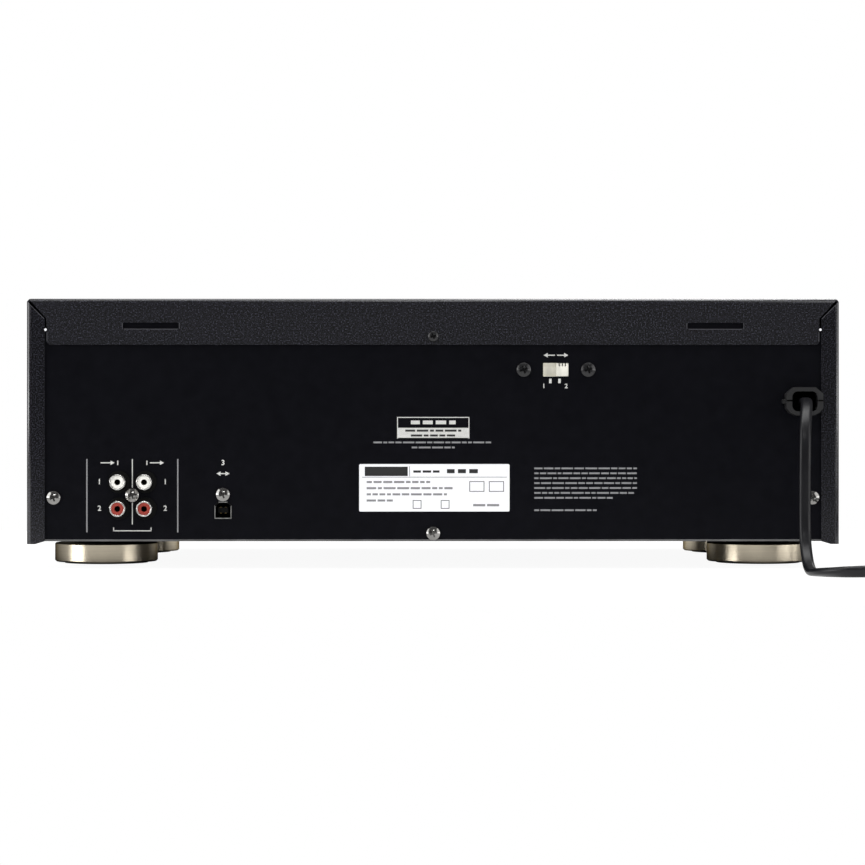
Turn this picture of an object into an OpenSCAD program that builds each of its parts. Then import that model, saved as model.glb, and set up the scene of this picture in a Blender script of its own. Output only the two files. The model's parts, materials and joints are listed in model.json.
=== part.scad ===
// Double cassette deck: two front-loading tape mechanisms in one case, with rear sockets and a mains cord.
// X points right seen from the front, Y to the rear panel and Z up. Lengths are in mm, angles in degrees.
// Heights named "up" start at the chassis underside, depths named "in" at the front face of the front panel.

/* [Case] */
// Width across the top cover
case_w = 435; // [425:1:460]
// Height from the floor to the top of the cover
overall_h = 145; // [143:0.5:165]
// Depth from the knob fronts to the ends of the phono sockets
overall_d = 286; // [270:1:340]
// Height of the chassis underside above the floor
foot_h = 15.2; // [13:0.1:18]
// Thickness of the sheet steel
sheet_t = 1; // [0.8:0.1:1.2]
// Outside radius of the folds of the cover
fold_r = 2.4; // [1.3:0.1:3]
// How far the cover's sides hang below the chassis
cover_drop = 1.5; // [0.5:0.1:3]
// Gap between the cover and what it slides over
cover_gap = 0.3; // [0.2:0.1:0.6]
// Height of the chassis' side walls
chassis_wall_h = 26; // [22:1:40]
// Clearance of a screw in its hole, on the radius
screw_gap = 0.1; // [0.05:0.05:0.3]

/* [Rear flanges] */
// Height of the cover's upper rear flange
rear_flange_h = 24.7; // [22:0.1:30]
// Width of the cover's side rear flanges
side_flange_w = 9.7; // [9:0.1:12]
// Open joint between the rear flanges
flange_joint = 1.1; // [0.5:0.1:1.5]
// Radius of the upper flange's lower corners
flange_r = 2.5; // [1:0.1:5]
// Width of the side flanges at their lower end
flange_toe = 4.6; // [3:0.1:6]
// Length of a slot in the upper flange
vent_w = 30; // [10:0.5:60]
// Height of a slot in the upper flange
vent_h = 3.2; // [2:0.1:5]
// Radius of a slot's corners
vent_r = 0.9; // [0.2:0.1:0.9]
// Distance of a slot's middle from the side of the case
vent_side_in = 66.5; // [47:0.5:157]
// Distance of a slot's middle below the top of the cover
vent_drop = 14.5; // [8:0.5:16]
// Distance of the cover's rear screw below the top
cover_screw_drop = 20.1; // [18:0.1:21]

/* [Rear sockets] */
// Middle of the phono block from the side of the case
jack_side_in = 56.5; // [42:0.1:77]
// Middle of the phono block, up
jack_up = 24.65; // [23:0.05:40]
// Distance between neighbouring phono sockets
jack_pitch = 14.2; // [13:0.1:16]
// Outside diameter of a phono shell
jack_d = 8.3; // [8:0.1:8.6]
// Bore of a phono insert
jack_bore_d = 3.2; // [3:0.1:3.6]
// How far the phono sockets stand out of the rear panel
jack_out = 9; // [7:0.5:12]
// Wall of a phono shell
jack_wall = 0.75; // [0.5:0.05:1]
// Diameter of the black collar round each phono socket
jack_collar_d = 11.8; // [10:0.1:12]
// Middle of the USB socket from the side of the case
usb_side_in = 105; // [88:0.1:122]
// Middle of the USB socket, up
usb_up = 16.6; // [16:0.1:30]
// Outside width and height of the USB shell
usb_w = 9.1; // [9:0.1:10]
// Wall of the USB shell
usb_wall = 0.5; // [0.3:0.1:0.7]
// Distance of the USB screw above the USB socket
usb_screw_rise = 8.4; // [8.3:0.1:10]
// Distance of the panel's side screws from the side of the case
panel_screw_side_in = 14.5; // [13.5:0.5:22.5]
// Height of the panel's side screws, up
panel_screw_up = 23.3; // [15:0.1:40]
// Height of the panel's lower screw, up
low_screw_up = 4.2; // [3.7:0.1:5]

/* [Voltage selector] */
// Middle of the selector window, across
selector_x = -65.7; // [-120:0.1:-40]
// Distance of the selector window's middle below the top of the cover
selector_drop = 38; // [37.8:0.1:70]
// Width of the selector window
selector_w = 13.7; // [12:0.1:18]
// Height of the selector window
selector_h = 7.3; // [6:0.1:10]
// Width of the slider
slider_w = 6.4; // [5:0.1:6.6]
// Clearance of the slider in the window
slider_gap = 0.2; // [0.1:0.05:0.4]
// Distance between the selector's two screws
selector_screws = 34.5; // [32:0.1:44]

/* [Cord bush] */
// Middle of the bush from the side of the case
bush_side_in = 19.5; // [19.5:0.1:37.5]
// Middle of the bush, up
bush_up = 74.8; // [50:0.1:85]
// Outside width of the bush
bush_w = 19.6; // [18:0.1:24]
// Outside height of the bush
bush_h = 15; // [14:0.1:18]
// How far the bush stands out of the panel
bush_out = 8; // [6:0.5:10]
// Wall of the bush round its mouth
bush_wall = 2.2; // [1.5:0.1:3]

/* [Feet] */
// Diameter of a foot
foot_d = 57.8; // [45:0.1:60]
// Height of a foot's metal ring
foot_ring_h = 10.6; // [8:0.1:11]
// Diameter of the pad under a foot
pad_d = 47; // [36:0.5:48]
// How far a pad stands out below its foot
pad_out = 0.8; // [0.5:0.1:1.5]
// Distance of a foot's middle from the side of the case
foot_side_in = 33; // [31.5:0.5:67.5]
// Distance of a rear foot's middle from the rear panel
rear_foot_in = 82; // [40:1:110]
// Distance of a front foot's middle behind the front panel
front_foot_in = 46; // [36:1:60]

/* [Front] */
// Thickness of the front panel
face_t = 4; // [3:0.1:5]
// Thickness of the plate of the front frame
frame_t = 3; // [2:0.1:4]
// How far the knobs stand out of the front panel
knob_out = 16; // [12:0.5:20]
// Gap between the display window and a door frame
display_side_gap = 13.1; // [11:0.1:30]
// Height of the display window
display_h = 34; // [24:1:36]
// Distance of the display's middle below the top of the cover
display_drop = 29.3; // [26:0.1:33.8]
// Gap between neighbouring keys
key_space = 3; // [2.6:0.1:6]
// Gap between the two groups of keys
key_mid_gap = 15; // [6:0.5:30]
// Gap between the outermost keys and the door frames
key_side_gap = 8.6; // [8.6:0.1:16]
// Height of a key
key_h = 9; // [6:0.5:10]
// Distance of the row of keys below the top of the cover
key_drop = 60.8; // [58:0.1:63]
// Distance of the record key below the top of the cover
record_drop = 74.8; // [73.8:0.1:77]
// How far keys stand out of the front panel
key_out = 2.5; // [2:0.1:4]
// Travel of a key
key_travel = 1.2; // [0.5:0.1:1.5]
// Clearance round a key
key_gap = 0.3; // [0.2:0.05:0.5]
// Width of the eject buttons
eject_w = 34; // [20:1:44]
// Distance of the eject buttons' middle under the door frames
eject_under = 11.6; // [9:0.1:15]
// Middle of the power button from the side of the case
power_side_in = 25.5; // [19.5:0.5:31.5]
// Travel of the power button
power_travel = 4; // [2:0.1:5]
// Travel of the eject buttons
eject_travel = 2.5; // [1.5:0.1:3]
// Middle of the record level knob, across
level_x = 46; // [42:0.5:50]
// Diameter of the record level knob
level_d = 36; // [28:0.5:38]
// Middle of the pitch knob, across
pitch_x = -46; // [-55:0.5:-40]
// Diameter of the pitch knob
pitch_d = 24; // [18:0.5:30]
// Middle of both knobs, up
knob_up = 26; // [24:0.5:28]
// Diameter of a knob's shaft
knob_shaft_d = 6; // [5:0.1:6.5]
// Middle of the microphone socket, across
mic_x = 0; // [-6:0.5:6]
// Middle of the microphone socket, up
mic_up = 19; // [17:0.5:30]
// Bore of the microphone socket
mic_bore_d = 6.4; // [6.35:0.05:6.6]
// Clearance of a round shaft or pin in its bearing, on the radius
bearing_gap = 0.05; // [0.02:0.01:0.1]

/* [Doors] */
// Width of the front panel between a door frame and the side of the case
deck_margin = 12.6; // [11:0.1:16]
// Width of a door beside its cassette holder
door_side = 2.4; // [1.4:0.1:3.4]
// Height of a door
door_h = 83; // [81:0.5:85]
// Distance of a door's upper edge below the top of the cover
door_drop = 10.8; // [9:0.1:13]
// Gap round a door
door_gap = 0.7; // [0.5:0.1:1]
// Thickness of a door's plate
door_t = 4; // [3.5:0.1:4.5]
// Radius of a door's round lower edge
door_edge_r = 3.2; // [3:0.1:3.4]
// Wall of the frame round a door
bezel_t = 2.2; // [2:0.1:2.6]
// Diameter of the hinge pins
hinge_pin_d = 3; // [2.5:0.1:3.4]
// Width of a door's window
window_w = 92; // [60:1:94]
// Height of a door's window
window_h = 50; // [30:1:54]
// Distance between the holder's side rails
holder_w = 103.2; // [102.4:0.1:104]
// Thickness of the holder's rails
rail_t = 3; // [2:0.1:3.2]
// Room for a cassette between the door's plate and the rails' lips
cassette_t = 14; // [13:0.1:14.4]

/* [Tape mechanism] */
// Depth of the mechanism plate, in
mech_in = 24; // [23.5:0.1:26]
// Thickness of the mechanism plate
mech_t = 1.5; // [1.2:0.1:2]
// Distance between the two spindles
hub_pitch = 42.5; // [42:0.1:43]
// Height of the spindles above the hinge
hub_rise = 41; // [39:0.5:43]
// Diameter of a spindle's hub
hub_d = 8.6; // [7.5:0.1:9]
// Diameter of a reel disc
reel_d = 30; // [24:0.5:32]
// Diameter of the capstan
capstan_d = 2.5; // [2:0.1:3]
// Capstan's distance from the middle of the deck
capstan_x = 27; // [25:0.5:29]
// Height of the capstan above the hinge
capstan_rise = 13; // [12.5:0.1:14]
// Diameter of the flywheel
flywheel_d = 44; // [36:0.5:48]
// Thickness of the flywheel
flywheel_t = 7; // [5:0.5:9]
// Diameter of a motor
motor_d = 30; // [24:0.5:32]
// Length of a motor
motor_l = 17.5; // [14:0.5:22]
// Motor's distance from the middle of the deck
motor_x = -30; // [-36:0.5:-28]
// Height of the motor above the hinge
motor_rise = 7; // [4:0.5:8]
// Diameter of a motor pulley where the belt runs
pulley_d = 8; // [6:0.1:10]
// Thickness of a belt
belt_t = 1.2; // [0.8:0.1:1.6]
// Clearance of the belt round its wheels
belt_gap = 0.3; // [0.3:0.05:0.5]
// Travel of a head carriage
head_travel = 8.5; // [6:0.1:9]
// Diameter of a pinch roller
roller_d = 11; // [9:0.1:11.4]
// Swing of a pinch arm
pinch_swing = 38; // [30:0.5:39]
// Gap between roller and capstan when engaged
pinch_gap = 0.4; // [0.3:0.05:0.6]

/* [Mains cord] */
// Width of the flat cord
cord_w = 6.2; // [5.6:0.1:6.4]
// Thickness of the flat cord
cord_t = 3.8; // [3:0.1:4]
// Radius of the coil's outermost turn
coil_r = 46; // [44:0.5:46]
// Radial step from turn to turn
coil_pitch = 6.6; // [6.4:0.1:7]
// Height step from layer to layer
coil_layer = 6.8; // [6.7:0.1:7.4]
// Number of turns, in and out again
coil_turns = 5.25; // [5.25:1:6.25]
// Length of the plug's body
plug_l = 28; // [24:0.5:34]

/* [Hidden] */
$fn = 48;
over = 1;
half_w = case_w / 2;
floor_top = foot_h + sheet_t;
face_y = -overall_d / 2 + knob_out;
panel_y = overall_d / 2 - jack_out;
panel_in = panel_y - sheet_t;
flange_y = panel_y + sheet_t;
cover_low = foot_h - cover_drop;
cover_in_x = half_w - sheet_t;
inner_x = cover_in_x - cover_gap;
inner_top = overall_h - sheet_t - cover_gap;
frame_in = face_t + frame_t;
front_y = face_y + face_t;
foot_x = half_w - foot_side_in;
foot_y = [face_y + front_foot_in, panel_y - rear_foot_in];
foot_screw_d = 4;
foot_top = pad_out + foot_ring_h;
boss_d = 36;
board_t = 1.6;
board_z = floor_top + 8.2;
board_top = board_z + board_t;
board_side_in = 11.5;
board_rear = panel_in - 3;
main_board_size = [144, 150];
power_board_size = [106, 68];
main_board_at = [half_w - board_side_in - main_board_size[0], board_rear - main_board_size[1]];
power_board_at = [board_side_in - half_w, board_rear - power_board_size[1]];
board_areas = [
  [main_board_at, main_board_at + main_board_size], [power_board_at, power_board_at + power_board_size]];
signal_capacitor = [10, 16];
signal_row = [28, 90, 22];
small_capacitor = [8, 12];
small_row = [18, 60, 16];
power_capacitor = [18, 30];
power_row = [26, 38, 30];
amplifier_chip = [26, 12, 3];
amplifier_row = [34, 25, 44];
processor_chip = [24, 24, 3];
processor_at = [98, 40];
heat_sink_at = [80, 14];
heat_sink_h = 26;
fin_size = [1.4, 28];
fin_pitch = 4;
fin_count = 4;
web_t = 3;
transformer_side_in = 67.5;
transformer_base = [66, 56, 1.5];
transformer_core = [58, 20, 50];
transformer_coil = [40, 46, 42];
coil_z = 9;
post_d = 6;
post_in = 4;
board_screw_l = 6;
screw_d = 3;
screw_dome = 0.85;
rear_head = [7.2, 2.4];
selector_head = [7.6, 2.6];
cover_head = [5.4, 1.8];
side_head = [7, 1.6];
side_screw_up = 14;
side_screw_y = [-60, 70];
vent_x = half_w - vent_side_in;
vent_z = overall_h - vent_drop;
cover_screw_z = overall_h - cover_screw_drop;
panel_screw_x = half_w - panel_screw_side_in;
jack_x = half_w - jack_side_in;
jack_z = foot_h + jack_up;
usb_x = half_w - usb_side_in;
usb_z = foot_h + usb_up;
selector_z = overall_h - selector_drop;
bush_x = bush_side_in - half_w;
bush_z = foot_h + bush_up;
selector_deep = 3;
slider_x = selector_x - (selector_w - slider_w) / 2 + slider_gap;
usb_tongue = [5.4, 3];
bush_seat = 2;
door_w = holder_w + 2 * rail_t + 2 * door_side;
door_z = overall_h - door_drop - door_h;
hinge_z = door_z + door_edge_r;
hinge_in = door_edge_r;
hinge_pin_l = bezel_t + door_gap - 0.2;
door_top = door_z + door_h;
door_mid = door_z + door_h / 2;
window_lip = 2;
window_fit = 0.15;
lip_in = door_t + cassette_t;
lip_t = 1.5;
lip_w = 4.5;
ledge_w = 9;
rail_low = hinge_z + 4;
rail_top = door_top - 5.8;
ledge_t = 2;
bezel_w = door_w + 2 * door_gap;
bezel_h = door_h + 2 * door_gap;
bezel_fit = 0.1;
bezel_flange = [7.2, 2];
frame_half = bezel_w / 2 + bezel_t;
frame_h = bezel_h + 2 * bezel_t;
deck_x = half_w - deck_margin - frame_half;
room_half = deck_x - frame_half;
frame_mid = room_half - bezel_flange[0] - bezel_fit;
strip_top = door_mid - frame_h / 2 - bezel_flange[1] - bezel_fit;
mech_back = mech_in + mech_t;
mech_post_d = post_d + 0.4;
mech_post_x = frame_half + post_d / 2 + 0.8;
mech_half = mech_post_x + 3.3;
mech_low = hinge_z - 4;
mech_top = door_top - 3.8;
mech_post_z = [hinge_z + 4, door_top - 13.8];
tongue_x = [-26, 44];
tongue_low = hinge_z - 16;
eject_tab = [12, 8];
hub_z = hinge_z + hub_rise;
capstan_z = hinge_z + capstan_rise;
motor_z = hinge_z + motor_rise;
spindle_d = 3;
hub_in = 9;
hub_l = 11;
reel_in = mech_back + 0.6;
reel_t = 4;
capstan_tip_in = 9;
bearing_d = 8;
flywheel_in = mech_back + motor_l + 0.6;
wheel_back = flywheel_in + flywheel_t;
belt_w = 3;
arc_steps = 32;
belt_in = flywheel_in + (flywheel_t - belt_w) / 2;
pulley_flange = 1;
motor_shaft_d = 2;
carriage_in = mech_in - 2.4;
carriage_t = 1.2;
carriage_half = 24;
carriage_low = hinge_z - 14;
carriage_top = hinge_z + 3;
guide_x = 16;
guide_z = hinge_z - 1;
guide_d = 3;
head_size = [13, 6.4, 11];
head_in = 8;
head_top = hinge_z + 3;
pinch_pivot = [38, hinge_z - 3];
roller_reach = [capstan_x, capstan_z - (roller_d + capstan_d) / 2 - pinch_gap];
pinch_l = norm(roller_reach - pinch_pivot);
pinch_up = atan2(roller_reach[1] - pinch_pivot[1], roller_reach[0] - pinch_pivot[0]);
pinch_rest = pinch_pivot + pinch_l * [cos(pinch_up + pinch_swing), sin(pinch_up + pinch_swing)];
pinch_r = 3.5;
roller_in = 8.2;
roller_w = 8;
axle_d = 2;
arm_in = roller_in + roller_w + 0.4;
arm_t = 2;
rim_t = 2;
rim_h = 8;
display_w = 2 * (room_half - display_side_gap);
key_count = 4;
key_w = (room_half - key_side_gap - key_mid_gap / 2 - (key_count - 1) * key_space) / key_count;
key_pitch = key_w + key_space;
key_x = (key_mid_gap + key_w) / 2;
key_flange = [1, 1.2, 1.5];
key_stem = 5;
front_board_in = 20;
front_board_half = deck_x - mech_post_x - mech_post_d / 2 - 2.1;
switch_size = [6, 6, 4];
switch_tip_in = front_board_in - switch_size[2] - 1;
stem_end = switch_tip_in - key_travel - 0.4;
power_stem_in = 20;
power_switch = [16, 28];
power_switch_in = 16;
power_switch_wall = 2;
key_z = overall_h - key_drop;
record_z = overall_h - record_drop;
display_z = overall_h - display_drop;
front_board_low = record_z - 8;
front_board_top = inner_top - 4;
display_lip = 3;
knob_z = foot_h + knob_up;
mic_z = foot_h + mic_up;
eject_z = door_mid - frame_h / 2 - eject_under;
power_x = power_side_in - half_w;
power_z = (floor_top + rim_t + door_mid - frame_h / 2) / 2;
eject_h = 8;
power_size = [17, 10];
pot_size = [17, 9];
pot_bush_d = 9;
mic_nut_d = 14;
mic_bush_d = 9;
mic_depth = 27;
lens_in = 0.5;

// The mains cord leaves the bush, bends down, meets the floor and turns towards the coil.
// Each entry is a point of the middle line and the direction of the cord's width there.
cord_route = [
  [[-198, 136, 90], [1, 0, 0]], [[-198, 146, 90], [1, 0, 0]],
  [[-196.9, 155.5, 88], [1, 0, 0]], [[-195.4, 163.5, 82.5], [1, 0, 0]],
  [[-194.2, 169, 74.5], [1, 0, 0]], [[-193.8, 171, 65], [1, 0, 0]],
  [[-193.6, 171, 46], [1, 0, 0]], [[-193.6, 171, 27], [1, 0, 0]],
  [[-193.6, 173, 17.5], [1, 0, 0]], [[-193.6, 178.5, 9.5], [1, 0, 0]],
  [[-193.6, 186.5, 4], [1, 0, 0]], [[-193.8, 196, 2], [1, 0, 0]],
  [[-196, 205.5, 2.3], [1, 0.4, 0.3]], [[-202, 213.5, 2.8], [0.7, 0.7, 0.7]],
  [[-210.5, 219, 3.3], [0.3, 0.6, 1.2]], [[-220, 221, 3.6], [0, 0.3, 1.2]],
  [[-240, 221, 3.7], [0, 0, 1]], [[-258, 221, 3.7], [0, 0, 1]], [[-273.8, 221, 3.7], [0, 0, 1]]
];
cord_sides = 10;
coil_entry = cord_route[len(cord_route) - 1][0];
coil_centre = [coil_entry[0] - cord_w, coil_entry[1] - coil_r];
coil_steps = 24;
coil_sides = 6;
coil_climb = 0.34;
plug_z = 9.2;
plug_tail = 24;
plug_size = [22, 17.6];
relief_l = 22;

// Shapes drawn on planes

module box(from, to) translate(from) cube(to - from);

// Extrudes a shape drawn in X and Z from one Y to another.
module along_y(from, to) translate([0, to, 0]) rotate([90, 0, 0]) linear_extrude(to - from) children();

// The same, with depths measured from the front face of the front panel.
module slab(from, to) along_y(face_y + from, face_y + to) children();

// Extrudes a shape drawn in Y and Z from one X to another.
module along_x(from, to) translate([from, 0, 0]) rotate([90, 0, 90]) linear_extrude(to - from) children();

module rounded(size, r) union() {
  square([size[0] - 2 * r, size[1]], center = true);
  square([size[0], size[1] - 2 * r], center = true);
  for (x = [-1, 1], y = [-1, 1]) translate([x * (size[0] / 2 - r), y * (size[1] / 2 - r)]) circle(r);
}

module spot(x, z, d) translate([x, z]) circle(d / 2);

module patch(x, z, size, r = 0.8) translate([x, z]) rounded(size, r);

// A bar with round ends between two points.
module link(from, to, r) union() {
  translate(from) circle(r);
  translate(to) circle(r);
  translate(from) rotate(atan2(to[1] - from[1], to[0] - from[0])) translate([0, -r])
    square([norm(to - from), 2 * r]);
}

function arc_points(centre, r, from, to) =
  [for (i = [0:arc_steps])
    let (angle = from + (to - from) * i / arc_steps) centre + r * [cos(angle), sin(angle)]];

// The outline of a belt round two wheels.
module belt_line(a, ra, b, rb) {
  turn = atan2(b[1] - a[1], b[0] - a[0]);
  lean = acos((ra - rb) / norm(b - a));
  polygon(concat(
    arc_points(a, ra, turn + lean, turn + 360 - lean), arc_points(b, rb, turn - lean, turn + lean)));
}

// A pan screw with a cross recess, whose head rises from z = 0.
module screw(head, shank) difference() {
  union() {
    intersection() {
      cylinder(d = head[0], h = head[1]);
      translate([0, 0, head[1] - head[0] * screw_dome]) sphere(head[0] * screw_dome);
    }
    translate([0, 0, -shank]) cylinder(d = screw_d, h = shank + 0.2);
  }
  for (turn = [20, 110])
    rotate(turn) translate([0, 0, head[1]]) cube([head[0] * 0.56, 0.9, 2.4], center = true);
}

module rear_screw(x, y, z, head, shank) translate([x, y, z]) rotate([-90, 0, 0]) screw(head, shank);

// Case

function foot_places() = [for (x = [-foot_x, foot_x], y = foot_y) [x, y]];

function board_posts(area) =
  [for (x = [area[0][0] + post_in, area[1][0] - post_in], y = [area[0][1] + post_in, area[1][1] - post_in])
    [x, y]];

module bottom_chassis() color("#8d9094") difference() {
  bracket_in = panel_in - sheet_t;
  union() {
    box([-inner_x, front_y, foot_h], [inner_x, panel_in, floor_top]);
    box([fold_r - inner_x, panel_in - over, foot_h], [inner_x - fold_r, panel_y, floor_top]);
    for (side = [-1, 1]) {
      wall = [side * inner_x, side * (inner_x - sheet_t)];
      box([min(wall), front_y + 20, foot_h], [max(wall), panel_in, foot_h + chassis_wall_h]);
      bracket = [side * inner_x, side * (panel_screw_x - 7)];
      box([min(bracket), bracket_in, foot_h], [max(bracket), panel_in, foot_h + panel_screw_up + 8]);
    }
    box([-inner_x, bracket_in, foot_h], [inner_x, panel_in, foot_h + low_screw_up + 4.5]);
    for (p = foot_places()) translate([p[0], p[1], foot_top]) cylinder(d = boss_d, h = floor_top - foot_top);
    for (area = board_areas, p = board_posts(area))
      translate([p[0], p[1], foot_h]) cylinder(d = post_d, h = board_z - foot_h);
  }
  for (p = foot_places()) translate([p[0], p[1], foot_top - over])
    cylinder(d = foot_screw_d + 2 * screw_gap, h = foot_h + 2 * over);
  for (area = board_areas, p = board_posts(area)) translate([p[0], p[1], board_z - board_screw_l])
    cylinder(d = screw_d + 2 * screw_gap, h = board_screw_l + over);
  for (y = side_screw_y) along_x(-case_w, case_w) spot(y, foot_h + side_screw_up, screw_d + 2 * screw_gap);
  along_y(bracket_in - over, panel_in + over) {
    for (side = [-1, 1]) spot(side * panel_screw_x, foot_h + panel_screw_up, screw_d + 2 * screw_gap);
    spot(0, foot_h + low_screw_up, screw_d + 2 * screw_gap);
  }
}

// A block with the cover's outline and folds, drawn in by the given amount.
module cover_block(inset, r) {
  x = half_w - inset;
  back = flange_y - inset;
  top = overall_h - inset;
  deep = 2 * overall_d;
  tall = 2 * overall_h;
  intersection() {
    along_y(back - deep, back) translate([0, top - tall / 2]) rounded([2 * x, tall], r);
    along_x(-x, x) translate([back - deep / 2, top - tall / 2]) rounded([deep, tall], r);
    translate([0, back - deep / 2, top - tall]) linear_extrude(tall) rounded([2 * x, deep], r);
  }
}

// What is cut from the cover's rear wall: the opening, the joints between the flanges and their mitres.
module rear_opening() {
  edge = half_w - side_flange_w;
  low = overall_h - rear_flange_h;
  mitre = overall_h - side_flange_w - flange_joint;
  translate([-edge, -over]) square([2 * edge, low + over]);
  for (side = [0, 1]) mirror([side, 0]) {
    polygon([[edge - over, 0], [half_w - flange_toe, 0], [half_w - flange_toe, cover_low], [edge, foot_h],
      [edge - over, foot_h]]);
    translate([edge - flange_joint, 0]) square([flange_joint, mitre]);
    difference() {
      translate([edge - flange_joint - flange_r, low - over]) square([flange_r + over / 2, flange_r + over]);
      spot(edge - flange_joint - flange_r, low + flange_r, 2 * flange_r);
    }
    polygon([[edge - flange_joint, mitre - 1.2], [edge, mitre - 1.2], [edge, mitre],
      [half_w + over, overall_h + over - flange_joint], [half_w + over, overall_h + over],
      [half_w + over - flange_joint, overall_h + over], [edge - flange_joint, mitre]]);
  }
}

module top_cover() color("#2a2a2e") difference() {
  cover_block(0, fold_r);
  cover_block(sheet_t, fold_r - sheet_t + 0.05);
  box([-case_w, -2 * overall_d, -2 * overall_h], [case_w, front_y, 2 * overall_h]);
  box([-case_w, -overall_d, -2 * overall_h], [case_w, overall_d, cover_low]);
  along_y(panel_y - sheet_t, flange_y + over) rear_opening();
  along_y(panel_y - over, flange_y + over) {
    for (side = [-1, 1]) patch(side * vent_x, vent_z, [vent_w, vent_h], vent_r);
    spot(0, cover_screw_z, screw_d + 2 * screw_gap);
  }
  for (y = side_screw_y) along_x(-case_w, case_w) spot(y, foot_h + side_screw_up, screw_d + 2 * screw_gap);
}

module usb_outline(size, cut) polygon([
  [-size / 2, -size / 2], [size / 2, -size / 2], [size / 2, size / 2 - cut], [size / 2 - cut, size / 2],
  [-size / 2 + cut, size / 2], [-size / 2, size / 2 - cut]]);

module each_jack(rows) for (x = [-1, 1], z = rows)
  translate([jack_x + x * jack_pitch / 2, jack_z + z * jack_pitch / 2]) children();

module rear_panel() color("#16171b") along_y(panel_in, panel_y) difference() {
  translate([-inner_x + fold_r, floor_top])
    square([2 * (inner_x - fold_r), inner_top - fold_r + cover_gap - floor_top]);
  each_jack([-1, 1]) circle(d = jack_collar_d + 0.2);
  spot(jack_x, jack_z, screw_d + 2 * screw_gap);
  translate([usb_x, usb_z]) usb_outline(usb_w + 0.2, 2);
  spot(usb_x, usb_z + usb_screw_rise, screw_d + 2 * screw_gap);
  patch(selector_x, selector_z, [selector_w, selector_h], 0.4);
  for (side = [-1, 1]) spot(selector_x + side * selector_screws / 2, selector_z, screw_d + 2 * screw_gap);
  patch(bush_x, bush_z, [bush_w - 3.8, bush_h - 2.4], 3);
  for (side = [-1, 1]) spot(side * panel_screw_x, foot_h + panel_screw_up, screw_d + 2 * screw_gap);
  spot(0, foot_h + low_screw_up, screw_d + 2 * screw_gap);
  spot(0, cover_screw_z, screw_d + 2 * screw_gap);
}

module feet() color("#b9af96") for (p = foot_places()) translate(concat(p, 0)) rotate_extrude() {
  r = foot_d / 2;
  seat = pad_out + 0.7;
  polygon([[foot_screw_d / 2 + screw_gap, seat + 5], [4.6, seat + 5], [4.6, seat], [pad_d / 2 + 0.1, seat],
    [pad_d / 2 + 0.1, pad_out], [r - 0.8, pad_out], [r, pad_out + 0.8], [r, foot_top - 0.6], [r - 0.6, foot_top],
    [foot_screw_d / 2 + screw_gap, foot_top]]);
}

module foot_pads() color("#232323") for (p = foot_places()) translate(concat(p, 0)) difference() {
  cylinder(d = pad_d, h = pad_out + 0.7);
  translate([0, 0, -over]) cylinder(d = 16, h = pad_out + 3 * over);
}

module black_screws() color("#1d1d1f") {
  rear_screw(0, flange_y, cover_screw_z, cover_head, 6);
  for (side = [-1, 1]) {
    rear_screw(selector_x + side * selector_screws / 2, panel_y, selector_z, selector_head, 5);
    for (y = side_screw_y)
      translate([side * half_w, y, foot_h + side_screw_up]) rotate([0, side * 90, 0]) screw(side_head, 5);
  }
}

module zinc_screws() color("#b4b6ba") {
  for (side = [-1, 1]) rear_screw(side * panel_screw_x, panel_y, foot_h + panel_screw_up, rear_head, 6);
  rear_screw(0, panel_y, foot_h + low_screw_up, rear_head, 6);
  rear_screw(jack_x, panel_y, jack_z, rear_head, 8);
  rear_screw(usb_x, panel_y, usb_z + usb_screw_rise, rear_head, 8);
  for (p = foot_places()) translate([p[0], p[1], pad_out + 5.7]) rotate([180, 0, 0]) {
    screw([7.6, 2.4], 6);
    translate([0, 0, pad_out + 4.5 - foot_h]) cylinder(d = foot_screw_d, h = foot_h - pad_out - 4.5);
  }
  for (deck = [-deck_x, deck_x], side = [-1, 1], z = mech_post_z)
    rear_screw(deck + side * mech_post_x, face_y + mech_back, z, [6, 2], 8);
  for (area = board_areas, p = board_posts(area))
    translate([p[0], p[1], board_top]) screw([5.6, 2], board_screw_l);
}

// Rear sockets and selector

module jack_block() color("#1b1b1d") difference() {
  union() {
    box([jack_x - jack_pitch, panel_in - 16, board_top], [jack_x + jack_pitch, panel_in, jack_z + jack_pitch]);
    along_y(panel_in - 1, panel_y + 0.6) each_jack([-1, 1]) circle(d = jack_collar_d);
  }
  along_y(panel_in - 9, panel_y + over) each_jack([-1, 1]) circle(d = jack_d - 0.4);
  along_y(panel_in - 12, panel_y + over) spot(jack_x, jack_z, screw_d + 2 * screw_gap);
}

module jack_shells() color("#d0d0cf") difference() {
  union() {
    along_y(panel_in - 8, panel_y + 0.6) each_jack([-1, 1]) circle(d = jack_d - 0.6);
    along_y(panel_y + 0.6, panel_y + jack_out) each_jack([-1, 1]) circle(d = jack_d);
  }
  along_y(panel_in - 9, panel_y + jack_out + over) each_jack([-1, 1]) circle(d = jack_d - 2 * jack_wall);
}

module jack_insert(row) difference() {
  along_y(panel_in - 8, panel_y + jack_out - 0.6) each_jack([row]) circle(d = jack_d - 2 * jack_wall - 0.1);
  along_y(panel_in - 4, panel_y + jack_out + over) each_jack([row]) circle(d = jack_bore_d);
}

module jack_inserts_white() color("#e9e7e0") jack_insert(1);

module jack_inserts_red() color("#a8382c") jack_insert(-1);

module usb_socket() color("#c4c6c9") union() {
  inside = usb_w - 2 * usb_wall;
  along_y(panel_in - 13, panel_y + 0.3) translate([usb_x, usb_z]) difference() {
    usb_outline(usb_w, 2);
    usb_outline(inside, 1.8);
  }
  along_y(panel_in - 14, panel_in - 13) translate([usb_x, usb_z]) usb_outline(usb_w, 2);
  along_y(panel_in - 13.5, panel_y - 1.5) translate([usb_x, usb_z]) square(usb_tongue, center = true);
  box([usb_x - 3, panel_in - 14, board_top], [usb_x + 3, panel_in - 4, usb_z - usb_w / 2 + 0.2]);
}

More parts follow.
